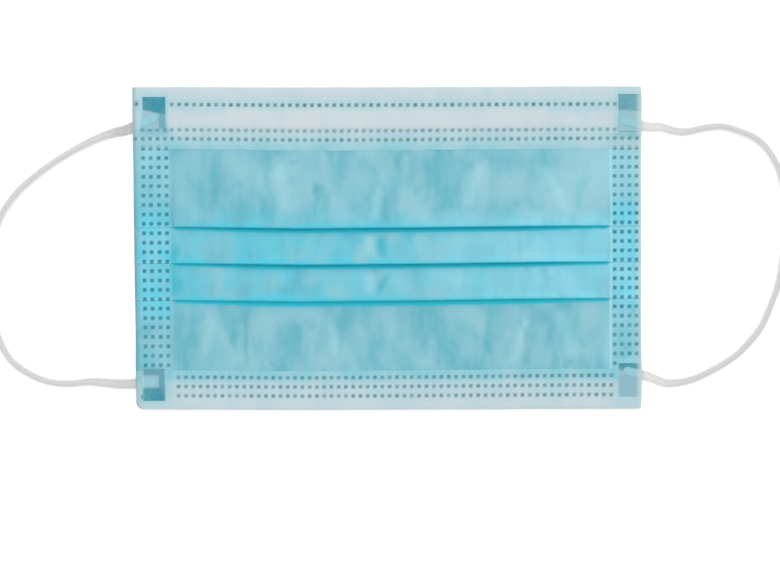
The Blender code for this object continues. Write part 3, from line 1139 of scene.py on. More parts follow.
@dataclass(frozen=True)
class ClothFinish:
    """The finish of a nonwoven layer: its colours, and how much of each relief it has."""

    name: str
    body: tuple
    cloudy: tuple
    cool: tuple
    # deep colours the blue where plies lie beneath, and the painted shade just ahead of each fold.
    deep: tuple
    # fold colours the painted shadows of folds, furrows and tucks, and faintly the point bonds.
    fold: tuple
    # dot colours the weld dots, and some painted shade in furrows and tucks.
    dot: tuple
    # pale colours the fibres, and painted highlights on ridges, the seam and fused folds, partly the
    # whitening of creased fibres.
    pale: tuple
    lit: tuple
    # greyed colours the painted shade along the left edge and the grey patches below the nose welds.
    greyed: tuple
    # The next colour is the paler right edge's.
    crease_shade_and_pale_edge: tuple
    tufted: float
    bond_pitch: float = 1.05 * MM
    roughness: float = 0.78
    streaked: float = 0.4
    pooled: float = 0.8
    patchy: float = 0.6
    dot_cover: float = 0.95
    dot_gloss: float = 0.3
    bond_tone: float = 0.08
    fibre_tone: float = 0.07
    fibre_relief: float = 0.35
    relief: float = 0.45
    relief_depth: float = 0.06 * MM

    def material(self, effects: Effects) -> Material:
        """Builds the layer's material.

        Args:
            effects: The shared node groups.

        Returns:
            The material, which reads the values painted on the cloth.
        """
        made, board, shader = new_material(self.name)
        web = effects.add_web(board, board.cut())
        bonds = effects.add_bonds(board, self.bond_pitch)
        fibres = web.outputs["Fibres"]
        tone = self.woven(board, web)
        tone = board.mix(board.times(bonds, self.bond_tone), tone, self.fold)
        tone = board.mix(board.times(fibres, self.fibre_tone), tone, self.pale)
        rough = board.math("SUBTRACT", self.roughness, board.times(board.painted("dot"), self.dot_gloss))
        board.feed(shader, Base_Color=tone, Roughness=rough, Sheen_Weight=0.05, Sheen_Roughness=0.45)
        board.feed(shader, Specular_IOR_Level=0.16)
        height = board.math("SUBTRACT", board.times(fibres, self.fibre_relief), bonds)
        board.bump(shader, height, self.relief, self.relief_depth)
        return made

    def woven(self, board: Board, web: Node) -> Socket:
        """Mixes the cloth's colours, from its web up to the marks that are painted on it.

        Args:
            board: The material's board.
            web: The fibre web's node.

        Returns:
            The colour.
        """
        # A painted gradient makes the clouds lighter towards the upper right and darker towards the left.
        clouds = board.math("ADD", web.outputs["Clouds"], board.painted("lighter_right_darker_left"), clamp=True)
        tone = board.mix(clouds, self.body, self.cloudy)
        tone = board.mix(board.times(web.outputs["Streaks"], self.streaked), tone, self.cloudy)
        tone = board.mix(board.times(web.outputs["Pools"], self.pooled), tone, self.cool)
        thin = board.math("SUBTRACT", 1.0, board.times(web.outputs["Tufts"], self.tufted))
        # Plies beneath deepen the blue, and the same mark carries painted shade just ahead of each fold.
        tone = board.mix(board.times(board.painted("plies"), thin), tone, self.deep)
        even = board.math("SUBTRACT", 1.0, board.times(web.outputs["Streaks"], self.patchy))
        tone = board.mix(board.times(board.painted("lit"), even), tone, self.lit)
        # pale carries painted highlights, greyed the painted shade along the left edge, the third mark the
        # paler right edge, and shade the painted shadows of folds, furrows and tucks.
        marks = {"pale": self.pale, "greyed": self.greyed, "crease_shade_and_pale_edge": self.crease_shade_and_pale_edge, "shade": self.fold}
        for mark, mark_colour in marks.items():
            tone = board.mix(board.painted(mark), tone, mark_colour)
        # The dot mark also carries painted shade in furrows and tucks, and the darker low end of the left
        # band.
        return board.mix(board.times(board.painted("dot"), self.dot_cover), tone, self.dot)


@dataclass(frozen=True)
class FilmFinish:
    """The finish of the fused corner spots."""

    name: str
    dark: tuple
    light: tuple
    elastic: tuple
    frayed: tuple
    rim_tone: float = 0.30
    fibre_tone: float = 0.05
    relief: float = 0.3
    relief_depth: float = 0.05 * MM

    def material(self, effects: Effects) -> Material:
        """Builds the film's material.

        Args:
            effects: The shared node groups.

        Returns:
            The material, which reads the values painted on the film.
        """
        made, board, shader = new_material(self.name)
        place = board.place()
        web = effects.add_web(board, place)
        patches = board.ramp(board.noise(place, 520.0, 4.0, 0.8), 0.36, 0.66)
        melted = board.times(board.painted("melt"), board.math("MULTIPLY_ADD", patches, 0.18, 0.86))
        tone = board.mix(melted, self.light, self.dark)
        under = board.times(board.painted("elastic"), board.math("MULTIPLY_ADD", patches, -0.35, 0.92))
        tone = board.mix(under, tone, self.elastic)
        tone = board.mix(board.times(board.painted("rim"), self.rim_tone), tone, self.dark)
        tone = board.mix(board.painted("frayed"), tone, self.frayed)
        tone = board.mix(board.times(web.outputs["Fibres"], self.fibre_tone), tone, WHITEST)
        rough = board.math("MULTIPLY_ADD", patches, 0.2, 0.38)
        board.feed(shader, Base_Color=tone, Roughness=rough, Specular_IOR_Level=0.22)
        board.bump(shader, board.noise(place, 2600.0, 3.0), self.relief, self.relief_depth)
        return made


@dataclass(frozen=True)
class ElasticFinish:
    """The finish of the knitted ear loops."""

    name: str
    yarn: tuple
    # gap colours the painted shade in the knit's valleys.
    gap: tuple
    # The next colour is the painted shadow of the cloth's edge on the left loop's ends.
    cloth_edge_shadow: tuple
    # flank colours the painted light on the flanks and the lighter right ends.
    flank: tuple = (0.97, 0.97, 0.97, 1.0)
    valley_tone: float = 0.75
    fibre_tone: float = 0.2
    relief: float = 0.5
    relief_depth: float = 0.05 * MM

    def material(self, effects: Effects) -> Material:
        """Builds the elastic's material, on the cord's own map.

        Args:
            effects: The shared node groups.

        Returns:
            The material, which reads the values painted on the cord.
        """
        made, board, shader = new_material(self.name)
        fibres = effects.add_web(board, board.cut()).outputs["Fibres"]
        # Painted shade in the valleys, painted light on the flanks, and painted shadow by the cloth's edge.
        tone = board.mix(board.times(board.painted("valley"), self.valley_tone), self.yarn, self.gap)
        tone = board.mix(board.painted("flank"), tone, self.flank)
        tone = board.mix(board.painted("cloth_edge_shadow"), tone, self.cloth_edge_shadow)
        tone = board.mix(board.times(fibres, self.fibre_tone), tone, WHITEST)
        board.feed(shader, Base_Color=tone, Roughness=0.85, Sheen_Weight=0.25, Sheen_Roughness=0.4)
        board.bump(shader, fibres, self.relief, self.relief_depth)
        return made


@dataclass(frozen=True)
class StripFinish:
    """The finish of the coated nose wire."""

    name: str
    coating: tuple
    grain: tuple = (0.95, 0.95, 0.95, 1.0)

    def material(self) -> Material:
        """Builds the strip's material, with a grain along its length.

        Returns:
            The material.
        """
        made, board, shader = new_material(self.name)
        grain = board.noise(board.stretched(board.place(), (120.0, 2400.0, 2400.0)), 1.0)
        rough = board.math("MULTIPLY_ADD", grain, 0.2, 0.32)
        board.feed(shader, Base_Color=board.mix(grain, self.coating, self.grain), Roughness=rough)
        return made


@dataclass(frozen=True)
class Tuck:
    """Painted shade where a strip between two pleats is tucked in, with no hollow under it."""

    x: float
    y: float
    width: float
    height: float

    def depth(self, x: Array, y: Array) -> Array:
        """How far into the spot points lie, from 0 to 1."""
        return bell(x - self.x, self.width) * bell(y - self.y, self.height)


@dataclass(frozen=True)
class Ground:
    """What the cover's paint is worked out from: places, and values from 0 to 1, at each point."""

    trace: Trace
    x: Array
    y: Array
    dot: Array
    band: Array
    stack: Array
    furrows: Array
    among_dots: Array
    tucks: Array


@dataclass(frozen=True)
class Cover:
    """The blue outer layer, with the marks of its dots, and the painted light and shade of its pleats,
    creases and tucks.
    """

    mask: "Mask"
    dot_press: float = 1.15
    stack_low: float = -25.0 * MM
    stack_high: float = 20.0 * MM
    stack_fade: float = 9.0 * MM
    stack_drop: float = 3.5 * MM
    dots_inner: float = 74.8 * MM
    dots_outer: float = 87.2 * MM
    tucks: tuple = (
        Tuck(-75.1 * MM, -1.6 * MM, 3.6 * MM, 2.6 * MM),
        Tuck(-72.7 * MM, -12.6 * MM, 2.8 * MM, 3.6 * MM),
    )

    def build(self, material: Material) -> Piece:
        """Lays out the layer and gives it its finish.

        Args:
            material: The blue cloth's finish.

        Returns:
            The layer's piece.
        """
        mask, cloth = self.mask, self.mask.cloth
        x = mask.width_lines(mask.dots.band_marks())
        end = mask.plan.half_height - cloth.reach - cloth.thickness
        trace = mask.laminate.trace(x, -end, end)
        dot = mask.dots.on_bands(x[:, None], trace.y) * trace.above
        loft = cloth.loft(x)[:, None]
        points, y = mask.lay(x, trace, cloth.layer * loft * (1.0 - self.dot_press * dot))
        sheet = ClothMesh("cover_cloth", points, x, mask.cut_length(points))
        ground = self.ground(trace, x[:, None], y, dot)
        # Painted shade along the left edge and a paler right edge, stronger where the pleats stack.
        mask.paint_edges(sheet, ground.x, 0.85 + 0.35 * ground.stack)
        self.paint_marks(sheet, ground)
        self.paint_depth(sheet, ground)
        self.paint_light(sheet, ground)
        piece = mask.finish_sheet(sheet, x, y, cloth.thickness * loft, material)
        mask.claim(piece, "spunbond_blue", "outer_cover")
        return piece

    def ground(self, trace: Trace, x: Array, y: Array, dot: Array) -> Ground:
        """Works out what the paint depends on.

        Args:
            trace: The laminate's line.
            x: Places across the width.
            y: Places along the length.
            dot: How far each point is pressed by dots.

        Returns:
            Where the side bands, the stacked pleats, the furrows and the tucks are.
        """
        band = ease(-self.mask.cloth.inner(x) / (0.8 * MM) + 0.5)
        lowered = y + by_side(x, self.stack_drop, 0.0)
        stack = ease((lowered - self.stack_low) / self.stack_fade)
        stack = stack * ease((self.stack_high - lowered) / self.stack_fade)
        among_dots = ease((abs(x) - self.dots_inner) / MM) * ease((self.dots_outer - abs(x)) / MM)
        furrows = self.mask.lie.crease_shade_and_pale_edge(x, y, ridges=False)
        tucks = sum(tuck.depth(x, y) for tuck in self.tucks) * (1 - band)
        return Ground(trace, x, y, dot, band, stack, furrows, among_dots * (1 - dot), tucks)

    def paint_marks(self, sheet: ClothMesh, ground: Ground) -> None:
        """Paints the dots, the folds' painted shadows, painted shade in the furrows and tucks, and a left
        band darker towards its low end.

        Args:
            sheet: The layer's sheet.
            ground: What the paint depends on.
        """
        x, y, furrows, tucks = ground.x, ground.y, ground.furrows, ground.tucks
        row_force = (0.98 + 0.3 * ground.stack) * by_side(x, 1.0, 0.92)
        # Painted shade in the tucks, and the left band darker towards its low end.
        low_left_darker_and_tuck_shade = by_side(x, 0.12, 0.0) * ease((-20 * MM - y) / (6 * MM)) * ground.band + 0.17 * tucks
        dots = (ground.dot * row_force).clip(0, 1)
        # The dot colour also carries painted shade in the furrows.
        sheet.paint("dot", np.maximum(dots, np.maximum(0.3 * furrows, low_left_darker_and_tuck_shade)))
        end_shade = 0.4 * ease(1 - (x + 74.5 * MM) / (5.5 * MM)) * (1 - ground.band)
        end_shade = end_shade * ease((y + 17 * MM) / (2 * MM)) * ease((6 * MM - y) / (3 * MM))
        # Painted shade in the furrows, at the strips' left ends and in the tucks.
        creased = 0.5 * furrows * ease(1.4 - abs(y + 5.5 * MM) / (14 * MM))
        marks = np.maximum(creased, end_shade + 0.34 * tucks)
        sheet.paint("shade", np.maximum(ground.trace.shade, marks))

    def paint_depth(self, sheet: ClothMesh, ground: Ground) -> None:
        """Paints where plies beneath, or painted shade just ahead of a fold, deepen the blue, and where it
        is lighter towards the upper right and darker towards the left.

        Args:
            sheet: The layer's sheet.
            ground: What the paint depends on.
        """
        x, y, band = ground.x, ground.y, ground.band
        left_margin = ease(1 - (x + self.mask.plan.half_width) / (3.2 * MM))
        right_margin = ease(1 - (self.mask.plan.half_width - x) / (3.6 * MM))
        share = 1.0 - 0.4 * ease((x + 40 * MM) / (90 * MM)) + 0.2 * bell(x + 39 * MM, 14 * MM)
        banded = by_side(x, 0.95, 0.75) * ground.stack * (1 - 0.35 * left_margin - 0.5 * right_margin)
        sheet.paint("plies", ground.trace.plies * share * (1 - band) + banded * band)
        # Lighter towards the upper right and darker towards the left, through more or fewer clouds.
        to_right = 0.5 * ease((x - 30 * MM) / (40 * MM)) * ease((y - 10 * MM) / (8 * MM))
        beyond_folds = np.maximum(ease((y - 8 * MM) / (6 * MM)), 0.6 * ease((-20 * MM - y) / (4 * MM)))
        to_left = 0.5 * ease(1 - (x + 76 * MM) / (34 * MM)) * beyond_folds * (1 - 0.9 * band)
        sheet.paint("lighter_right_darker_left", to_right - to_left)

    def paint_light(self, sheet: ClothMesh, ground: Ground) -> None:
        """Paints where the cloth is lit, and the pale marks: painted highlights on ridges, partly the
        whitening of creased fibres, on the right band's seam and on the fused folds, paler cloth between the
        band dots, and a paler upper right.

        Args:
            sheet: The layer's sheet.
            ground: What the paint depends on.
        """
        x, y, band, stack = ground.x, ground.y, ground.band, ground.stack
        edges = [pleat.edge for pleat in self.mask.laminate.pleats]
        near_folds = ease((y + 19 * MM) / (2 * MM)) * ease((14 * MM - y) / (5 * MM))
        beside_fold = sum(ease(1 - abs(y - edge - 0.5 * MM) / (3.2 * MM)) for edge in edges)
        strips = (0.46 + 0.3 * beside_fold) * ease((x + 15 * MM) / (80 * MM)) * near_folds * (1 - band)
        in_bands = by_side(x, 0.08, 0.42) * stack * band + (0.24 - 0.1 * stack) * ground.among_dots
        sheet.paint("lit", strips + in_bands)
        # The upper right is painted paler.
        corner = 0.2 * ease((x - 35 * MM) / (50 * MM)) * ease((y - 10 * MM) / (14 * MM))
        # Painted highlights along ridges and the right band's seam, partly the whitening of creased fibres.
        ridges = 0.45 * self.mask.lie.crease_shade_and_pale_edge(x, y, ridges=True)
        seam = bell(x - self.mask.cloth.right_band - 0.1 * MM, 0.28 * MM) * ground.trace.above
        # Painted highlight that hides the fused folds' shade in the side bands.
        fused_folds = sum(bell(y - edge, 0.35 * MM) for edge in edges) * band
        pale = np.maximum(ridges + corner, 0.8 * seam)
        pale = np.maximum(pale, 0.08 * (1 - stack) * ground.among_dots)
        sheet.paint("pale", np.maximum(pale, 0.30 * fused_folds))


@dataclass(frozen=True)
class Lining:
    """The white inner layer, up to its turns over the cover's edges."""

    mask: "Mask"
    dot_press: float = 0.6
    dot_tone: float = 0.55
    # Strength of the painted shade along the left edge.
    edge_tone: float = 0.4

    def build(self, material: Material, hems: list[Piece]) -> Piece:
        """Lays out the layer and gives it its finish.

        Args:
            material: The white cloth's finish.
            hems: The pieces that go with it; not used.

        Returns:
            The layer's piece.
        """
        mask, cloth = self.mask, self.mask.cloth
        x = mask.width_lines(mask.dots.band_marks())
        end = mask.plan.half_height - cloth.reach
        trace = mask.laminate.trace(x, -end, end)
        dot = mask.dots.on_bands(x[:, None], trace.y) * trace.below
        loft = cloth.loft(x)[:, None]
        points, y = mask.lay(x, trace, -cloth.layer * loft * (1.0 - self.dot_press * dot))
        sheet = ClothMesh("lining_cloth", points, x, mask.cut_length(points))
        sheet.paint("dot", self.dot_tone * dot)
        mask.paint_edges(sheet, x[:, None], self.edge_tone + 0 * y)
        piece = mask.finish_sheet(sheet, x, y, cloth.thickness * loft, material)
        mask.claim(piece, "spunbond_white", "inner_lining")
        return piece


@dataclass(frozen=True)
class HemRows:
    """The lines of a hem from its free end to its turned edge, in rising order along the mask."""

    out: Array
    level: Array
    on_top: Array
    free: float


@dataclass(frozen=True)
class Hem:
    """The lining's turned-over edge at one end of the mask, and how its blue shows through."""

    name: str
    end: End
    depth: float
    through_at: tuple
    through: tuple
    row_step: float = 1.0 * MM
    turn_points: int = 9
    dot_press: float = 0.22 * MM
    groove_width: float = 0.8 * MM
    puffed: float = 0.10 * MM
    end_press: float = 0.08 * MM
    end_slope: float = 1.5 * MM
    end_share: float = 0.35

    def build(self, mask: "Mask", material: Material) -> Piece:
        """Lays out the hem, from its free end over the front and round the edge.

        Args:
            mask: The mask that it belongs to.
            material: The white cloth's finish.

        Returns:
            The hem's piece.
        """
        cloth, dots = mask.cloth, mask.dots
        x = mask.width_lines(np.concatenate((dots.hem_marks(self.end), dots.band_marks())))
        rows = self.rows(mask)
        y = np.broadcast_to(rows.out * self.end.value, (len(x), len(rows.out)))
        dot = np.maximum(dots.on_hem(self.end, x[:, None], y), dots.on_bands(x[:, None], y)) * rows.on_top
        groove = sum(bell(rows.out - abs(row.y), self.groove_width) for row in dots.rows[self.end])
        from_free = ease((rows.out - rows.free) / self.end_slope)
        raised = self.puffed * (1 - np.clip(groove, 0, 1)) * from_free - self.end_press * (1 - from_free)
        loft = cloth.loft(x)[:, None]
        height = loft * (rows.level + rows.on_top * raised - self.dot_press * dot)
        height = height + rows.on_top * self.channel(mask, x[:, None], rows.out)
        base = mask.laminate.base(x)[:, None]
        place_x, place_y = mask.plan.place(x[:, None] + 0 * y, y)
        points = np.stack((place_x, place_y, base + height + mask.lie.height(x[:, None], y)), axis=-1)
        sheet = ClothMesh(self.name, points, x, mask.cut_length(points))
        sheet.paint("dot", dot)
        self.paint(mask, sheet, x[:, None], y, rows)
        whole = (from_free + 1 - rows.on_top).clip(0, 1)
        thickness = cloth.thickness * loft * (self.end_share + (1 - self.end_share) * whole)
        piece = mask.finish_sheet(sheet, x, y, thickness, material)
        mask.claim(piece, "spunbond_white", "inner_lining")
        return piece

    def rows(self, mask: "Mask") -> HemRows:
        """Works out the hem's lines along the length.

        Args:
            mask: The mask that it belongs to.

        Returns:
            How far out each line lies, its height, and whether it lies on top.
        """
        cloth = mask.cloth
        centre = mask.plan.half_height - cloth.reach
        free = mask.plan.half_height - self.depth
        dots = mask.dots.rims(np.array([abs(row.y) for row in mask.dots.rows[self.end]]))
        mine = [weld for weld in mask.welds if weld.end is self.end]
        windows = [abs(value) for weld in mine for value in (weld.low[1], weld.high[1])]
        lines = lines_between(np.concatenate((dots, windows)), free, centre, self.row_step)
        angle = np.linspace(math.pi / 2, -math.pi / 2, self.turn_points)[1:]
        out = np.concatenate((lines, centre + cloth.turn * np.cos(angle)))
        turned = cloth.layer + cloth.turn * np.sin(angle)
        level = np.concatenate((np.full(len(lines), cloth.flap), turned))
        on_top = np.concatenate((np.ones(len(lines)), np.zeros(len(angle))))
        order = slice(None, None, self.end.value)
        return HemRows(out[order], level[order], on_top[order], free)

    def paint(self, mask: "Mask", sheet: ClothMesh, x: Array, y: Array, rows: HemRows) -> None:
        """Paints the blue that shows through the hem, bluer beside its welds, and the grey patches below the
        nose welds.

        Args:
            mask: The mask that it belongs to.
            sheet: The hem's sheet.
            x: Places across the width.
            y: Places along the length.
            rows: The hem's lines.
        """
        from_edge = mask.plan.half_height - rows.out
        low_band = 0.14 + 0.2 * ease((rows.out.max() - rows.out - 8 * MM) / (4 * MM))
        through = np.interp(from_edge, self.through_at, self.through)[None, :] + 0 * y
        if self.end is End.NOSE:
            low_band = low_band * (1 - ease((through - 0.2) / 0.5))
            to_right = ease((x - 15 * MM) / (60 * MM))
            through = through * (1 - 0.24 * to_right * ease((through - 0.5) / 0.2))
        through = through + low_band * ease(-mask.cloth.inner(x) / MM)
        through = through * (1 - 0.9 * self.channel(mask, x, rows.out) / mask.strip.thickness)
        grey_patch = 0 * y
        for weld in mask.welds:
            if weld.end is not self.end:
                continue
            gap = weld.distance(x, y)
            beneath = ease(1 - gap / (3.6 * MM)) * (y < weld.low[1]) * (self.end is End.NOSE)
            beside = 0.3 * weld.darkness * ease(1 - gap / (1.3 * MM))
            through = through + np.maximum(beside, 0.3 * beneath)
            grey_patch = np.maximum(grey_patch, 0.3 * beneath)
        sheet.paint("plies", np.clip(through, 0, 1) * rows.on_top)
        mask.paint_edges(sheet, x, 0 * y + 1, grey_patch)

    def channel(self, mask: "Mask", x: Array, out: Array) -> Array:
        """Makes room for the nose wire.

        Args:
            mask: The mask that the hem belongs to.
            x: Places across the width.
            out: How far out from the mask's middle the hem's lines lie.

        Returns:
            How far the hem rises over the wire.
        """
        if self.end is End.CHIN:
            return 0 * out
        strip = mask.strip
        across = ease((strip.half_width + 2.0 * MM - abs(out - strip.y)) / (1.8 * MM))
        along = ease((strip.half_length + 1.5 * MM - abs(x)) / (3 * MM))
        return (strip.thickness - 0.1 * MM) * across * along


@dataclass(frozen=True)
class NoseStrip:
    """The bendable strip in the nose hem."""

    half_length: float
    half_width: float
    y: float
    thickness: float = 0.62 * MM
    rounding: float = 0.18 * MM
    stretches: int = 48
    clearance: float = 0.02 * MM

    @classmethod
    def from_frame(cls) -> "NoseStrip":
        """The strip's place and size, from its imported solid."""
        low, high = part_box("nose_wire")
        return cls((high[0] - low[0]) / 2, (high[1] - low[1]) / 2, (high[1] + low[1]) / 2)

    def build(self, mask: "Mask", material: Material) -> Piece:
        """Models the strip with rounded edges, and lays it on the cover under the hem.

        Args:
            mask: The mask that it belongs to.
            material: The coating's finish.

        Returns:
            The strip's piece.
        """
        clear_selection()
        bpy.ops.mesh.primitive_cube_add(size=1.0, location=(0.0, self.y, 0.0))
        piece = bpy.context.object
        piece.name = "nose_strip"
        piece.scale = (2 * self.half_length, 2 * self.half_width, self.thickness)
        bpy.ops.object.transform_apply(location=True, rotation=False, scale=True)
        bpy.ops.object.mode_set(mode="EDIT")
        bpy.ops.mesh.select_all(action="SELECT")
        bpy.ops.mesh.bevel(offset=self.rounding, segments=2, affect="EDGES")
        for place in range(1, self.stretches):
            bpy.ops.mesh.select_all(action="SELECT")
            cut_x = self.half_length * (2 * place / self.stretches - 1)
            bpy.ops.mesh.bisect(plane_co=(cut_x, 0, 0), plane_no=(1, 0, 0))
        bpy.ops.object.mode_set(mode="OBJECT")
        places = np.array([vertex.co[:] for vertex in piece.data.vertices])
        x, y = places[:, 0], places[:, 1]
        seat = mask.laminate.base(x) + mask.cloth.layer + mask.cloth.thickness / 2 + self.clearance
        places[:, 2] += seat + self.thickness / 2 + mask.lie.height(x, y)
        places[:, 0], places[:, 1] = mask.plan.place(x, y)
        piece.data.vertices.foreach_set("co", places.astype(np.float32).ravel())
        piece.data.materials.append(material)
        smooth(piece, 40)
        mask.claim(piece, "wire_coating", "nose_wire")
        return piece


@dataclass(frozen=True)
class FusedSpot:
    """A corner spot where the layers and a loop's end are melted into one film."""

    mask: "Mask"
    weld: WeldSpot
    loop: "EarLoop"
    cells: tuple[int, int] = (36, 50)
    overlap: float = 0.12 * MM
    top: float = 0.20 * MM
    bottom: float = -0.14 * MM
    dome: float = 0.20 * MM
    horn_pitch: float = 1.1 * MM
    horn_height: float = 0.03 * MM
    melt_press: float = 0.10 * MM
    rim_press: float = 0.05 * MM

    def build(self, material: Material) -> Piece:
        """Models the film from a fine grid, with the loop's end raised in it.

        Args:
            material: The film's finish.

        Returns:
            The spot's piece.
        """
        low = np.array(self.weld.low) - self.overlap
        high = np.array(self.weld.high) + self.overlap
        clear_selection()
        wide, long = self.cells
        bpy.ops.mesh.primitive_grid_add(x_subdivisions=wide, y_subdivisions=long, size=1.0)
        piece = bpy.context.object
        piece.name = f"fused_spot_{self.weld.name}"
        piece.scale = (*(high - low), 1.0)
        piece.location = (*((high + low) / 2), 0.0)
        bpy.ops.object.transform_apply(location=True, rotation=False, scale=True)
        bpy.ops.object.mode_set(mode="EDIT")
        bpy.ops.mesh.select_all(action="SELECT")
        down = (0.0, 0.0, self.bottom - self.top)
        bpy.ops.mesh.extrude_region_move(TRANSFORM_OT_translate={"value": down})
        bpy.ops.mesh.select_all(action="SELECT")
        bpy.ops.mesh.normals_make_consistent(inside=False)
        bpy.ops.object.mode_set(mode="OBJECT")
        self.shape(piece)
        piece.data.materials.append(material)
        smooth(piece, 55)
        self.mask.claim(piece, "melted_cloth", f"loop_weld_{self.weld.name}")
        return piece

    def shape(self, piece: Piece) -> None:
        """Raises the film over the loop's end and presses it where it is melted.

        Args:
            piece: The spot's flat film, whose points are moved and painted.
        """
        mask, weld = self.mask, self.weld
        places = np.array([vertex.co[:] for vertex in piece.data.vertices])
        x, y = places[:, 0].copy(), places[:, 1].copy()
        upper = places[:, 2] > (self.bottom - self.top) / 2
        inside = -weld.distance(x, y) + self.overlap
        placed_x, placed_y = mask.plan.place(x, y)
        end = self.loop.end_mask(weld, placed_x, placed_y)
        melted = weld.melted(x, y) * (1 - ease(end))
        turn = 2 * math.pi / self.horn_pitch
        horn = np.cos(x * turn) * np.cos(y * turn)
        level = np.where(upper, self.top, self.bottom)
        dome = ease(end) * upper * self.dome
        rim = ease(1 - inside / (0.4 * MM))
        press = upper * (self.melt_press * ease(melted * 1.5) + self.rim_press * rim)
        texture = self.horn_height * ease(horn) * upper * melted
        base = mask.laminate.base(x) + mask.lie.height(x, y)
        places[:, 2] = base + level + dome - press + texture
        places[:, 0], places[:, 1] = placed_x, placed_y
        piece.data.vertices.foreach_set("co", places.astype(np.float32).ravel())
        self.paint(piece, x, y, end, melted)

    def paint(self, piece: Piece, x: Array, y: Array, end: Array, melted: Array) -> None:
        """Paints the loop's end, the melted parts and the frayed edges.

        Args:
            piece: The spot's film.
            x: Places across the width.
            y: Places along the length.
            end: How far points are over the loop's end.
            melted: How far the layers are melted through.
        """
        weld = self.weld
        left, nose = weld.side is Side.LEFT, weld.end is End.NOSE
        free_of_end = 1 - ease(end)
        beside = ease((x - weld.high[0] + 2.7 * MM) / (0.8 * MM)) * left
        strip = (0.55 if nose else 0.75) * weld.darkness * beside * free_of_end
        crinkled = (0.75 if left else 0.95) * ease((y - weld.high[1] + 3.0 * MM) / (1.5 * MM))
        crinkled = crinkled * free_of_end * (not nose)
        lower = 0.6 * ease(1 - (y - weld.low[1]) / (0.8 * MM)) * (nose and not left)
        melt = np.maximum(np.maximum(melted, strip), np.maximum(crinkled, lower))
        frayed = 0.75 * ease(1 - (self.mask.plan.half_width - x) / (2.2 * MM))
        side_rim = np.minimum(x - weld.low[0], weld.high[0] - x)
        frayed = np.maximum(frayed, 0.35 * ease(1 - side_rim / (0.6 * MM)) * (not nose))
        rim_line = ease(1 - abs(end - 0.5) / 0.42)
        painted = (("elastic", 0.8 * ease(end)), ("rim", rim_line), ("melt", melt), ("frayed", frayed))
        for name, values in painted:
            paint_points(piece.data, name, values)


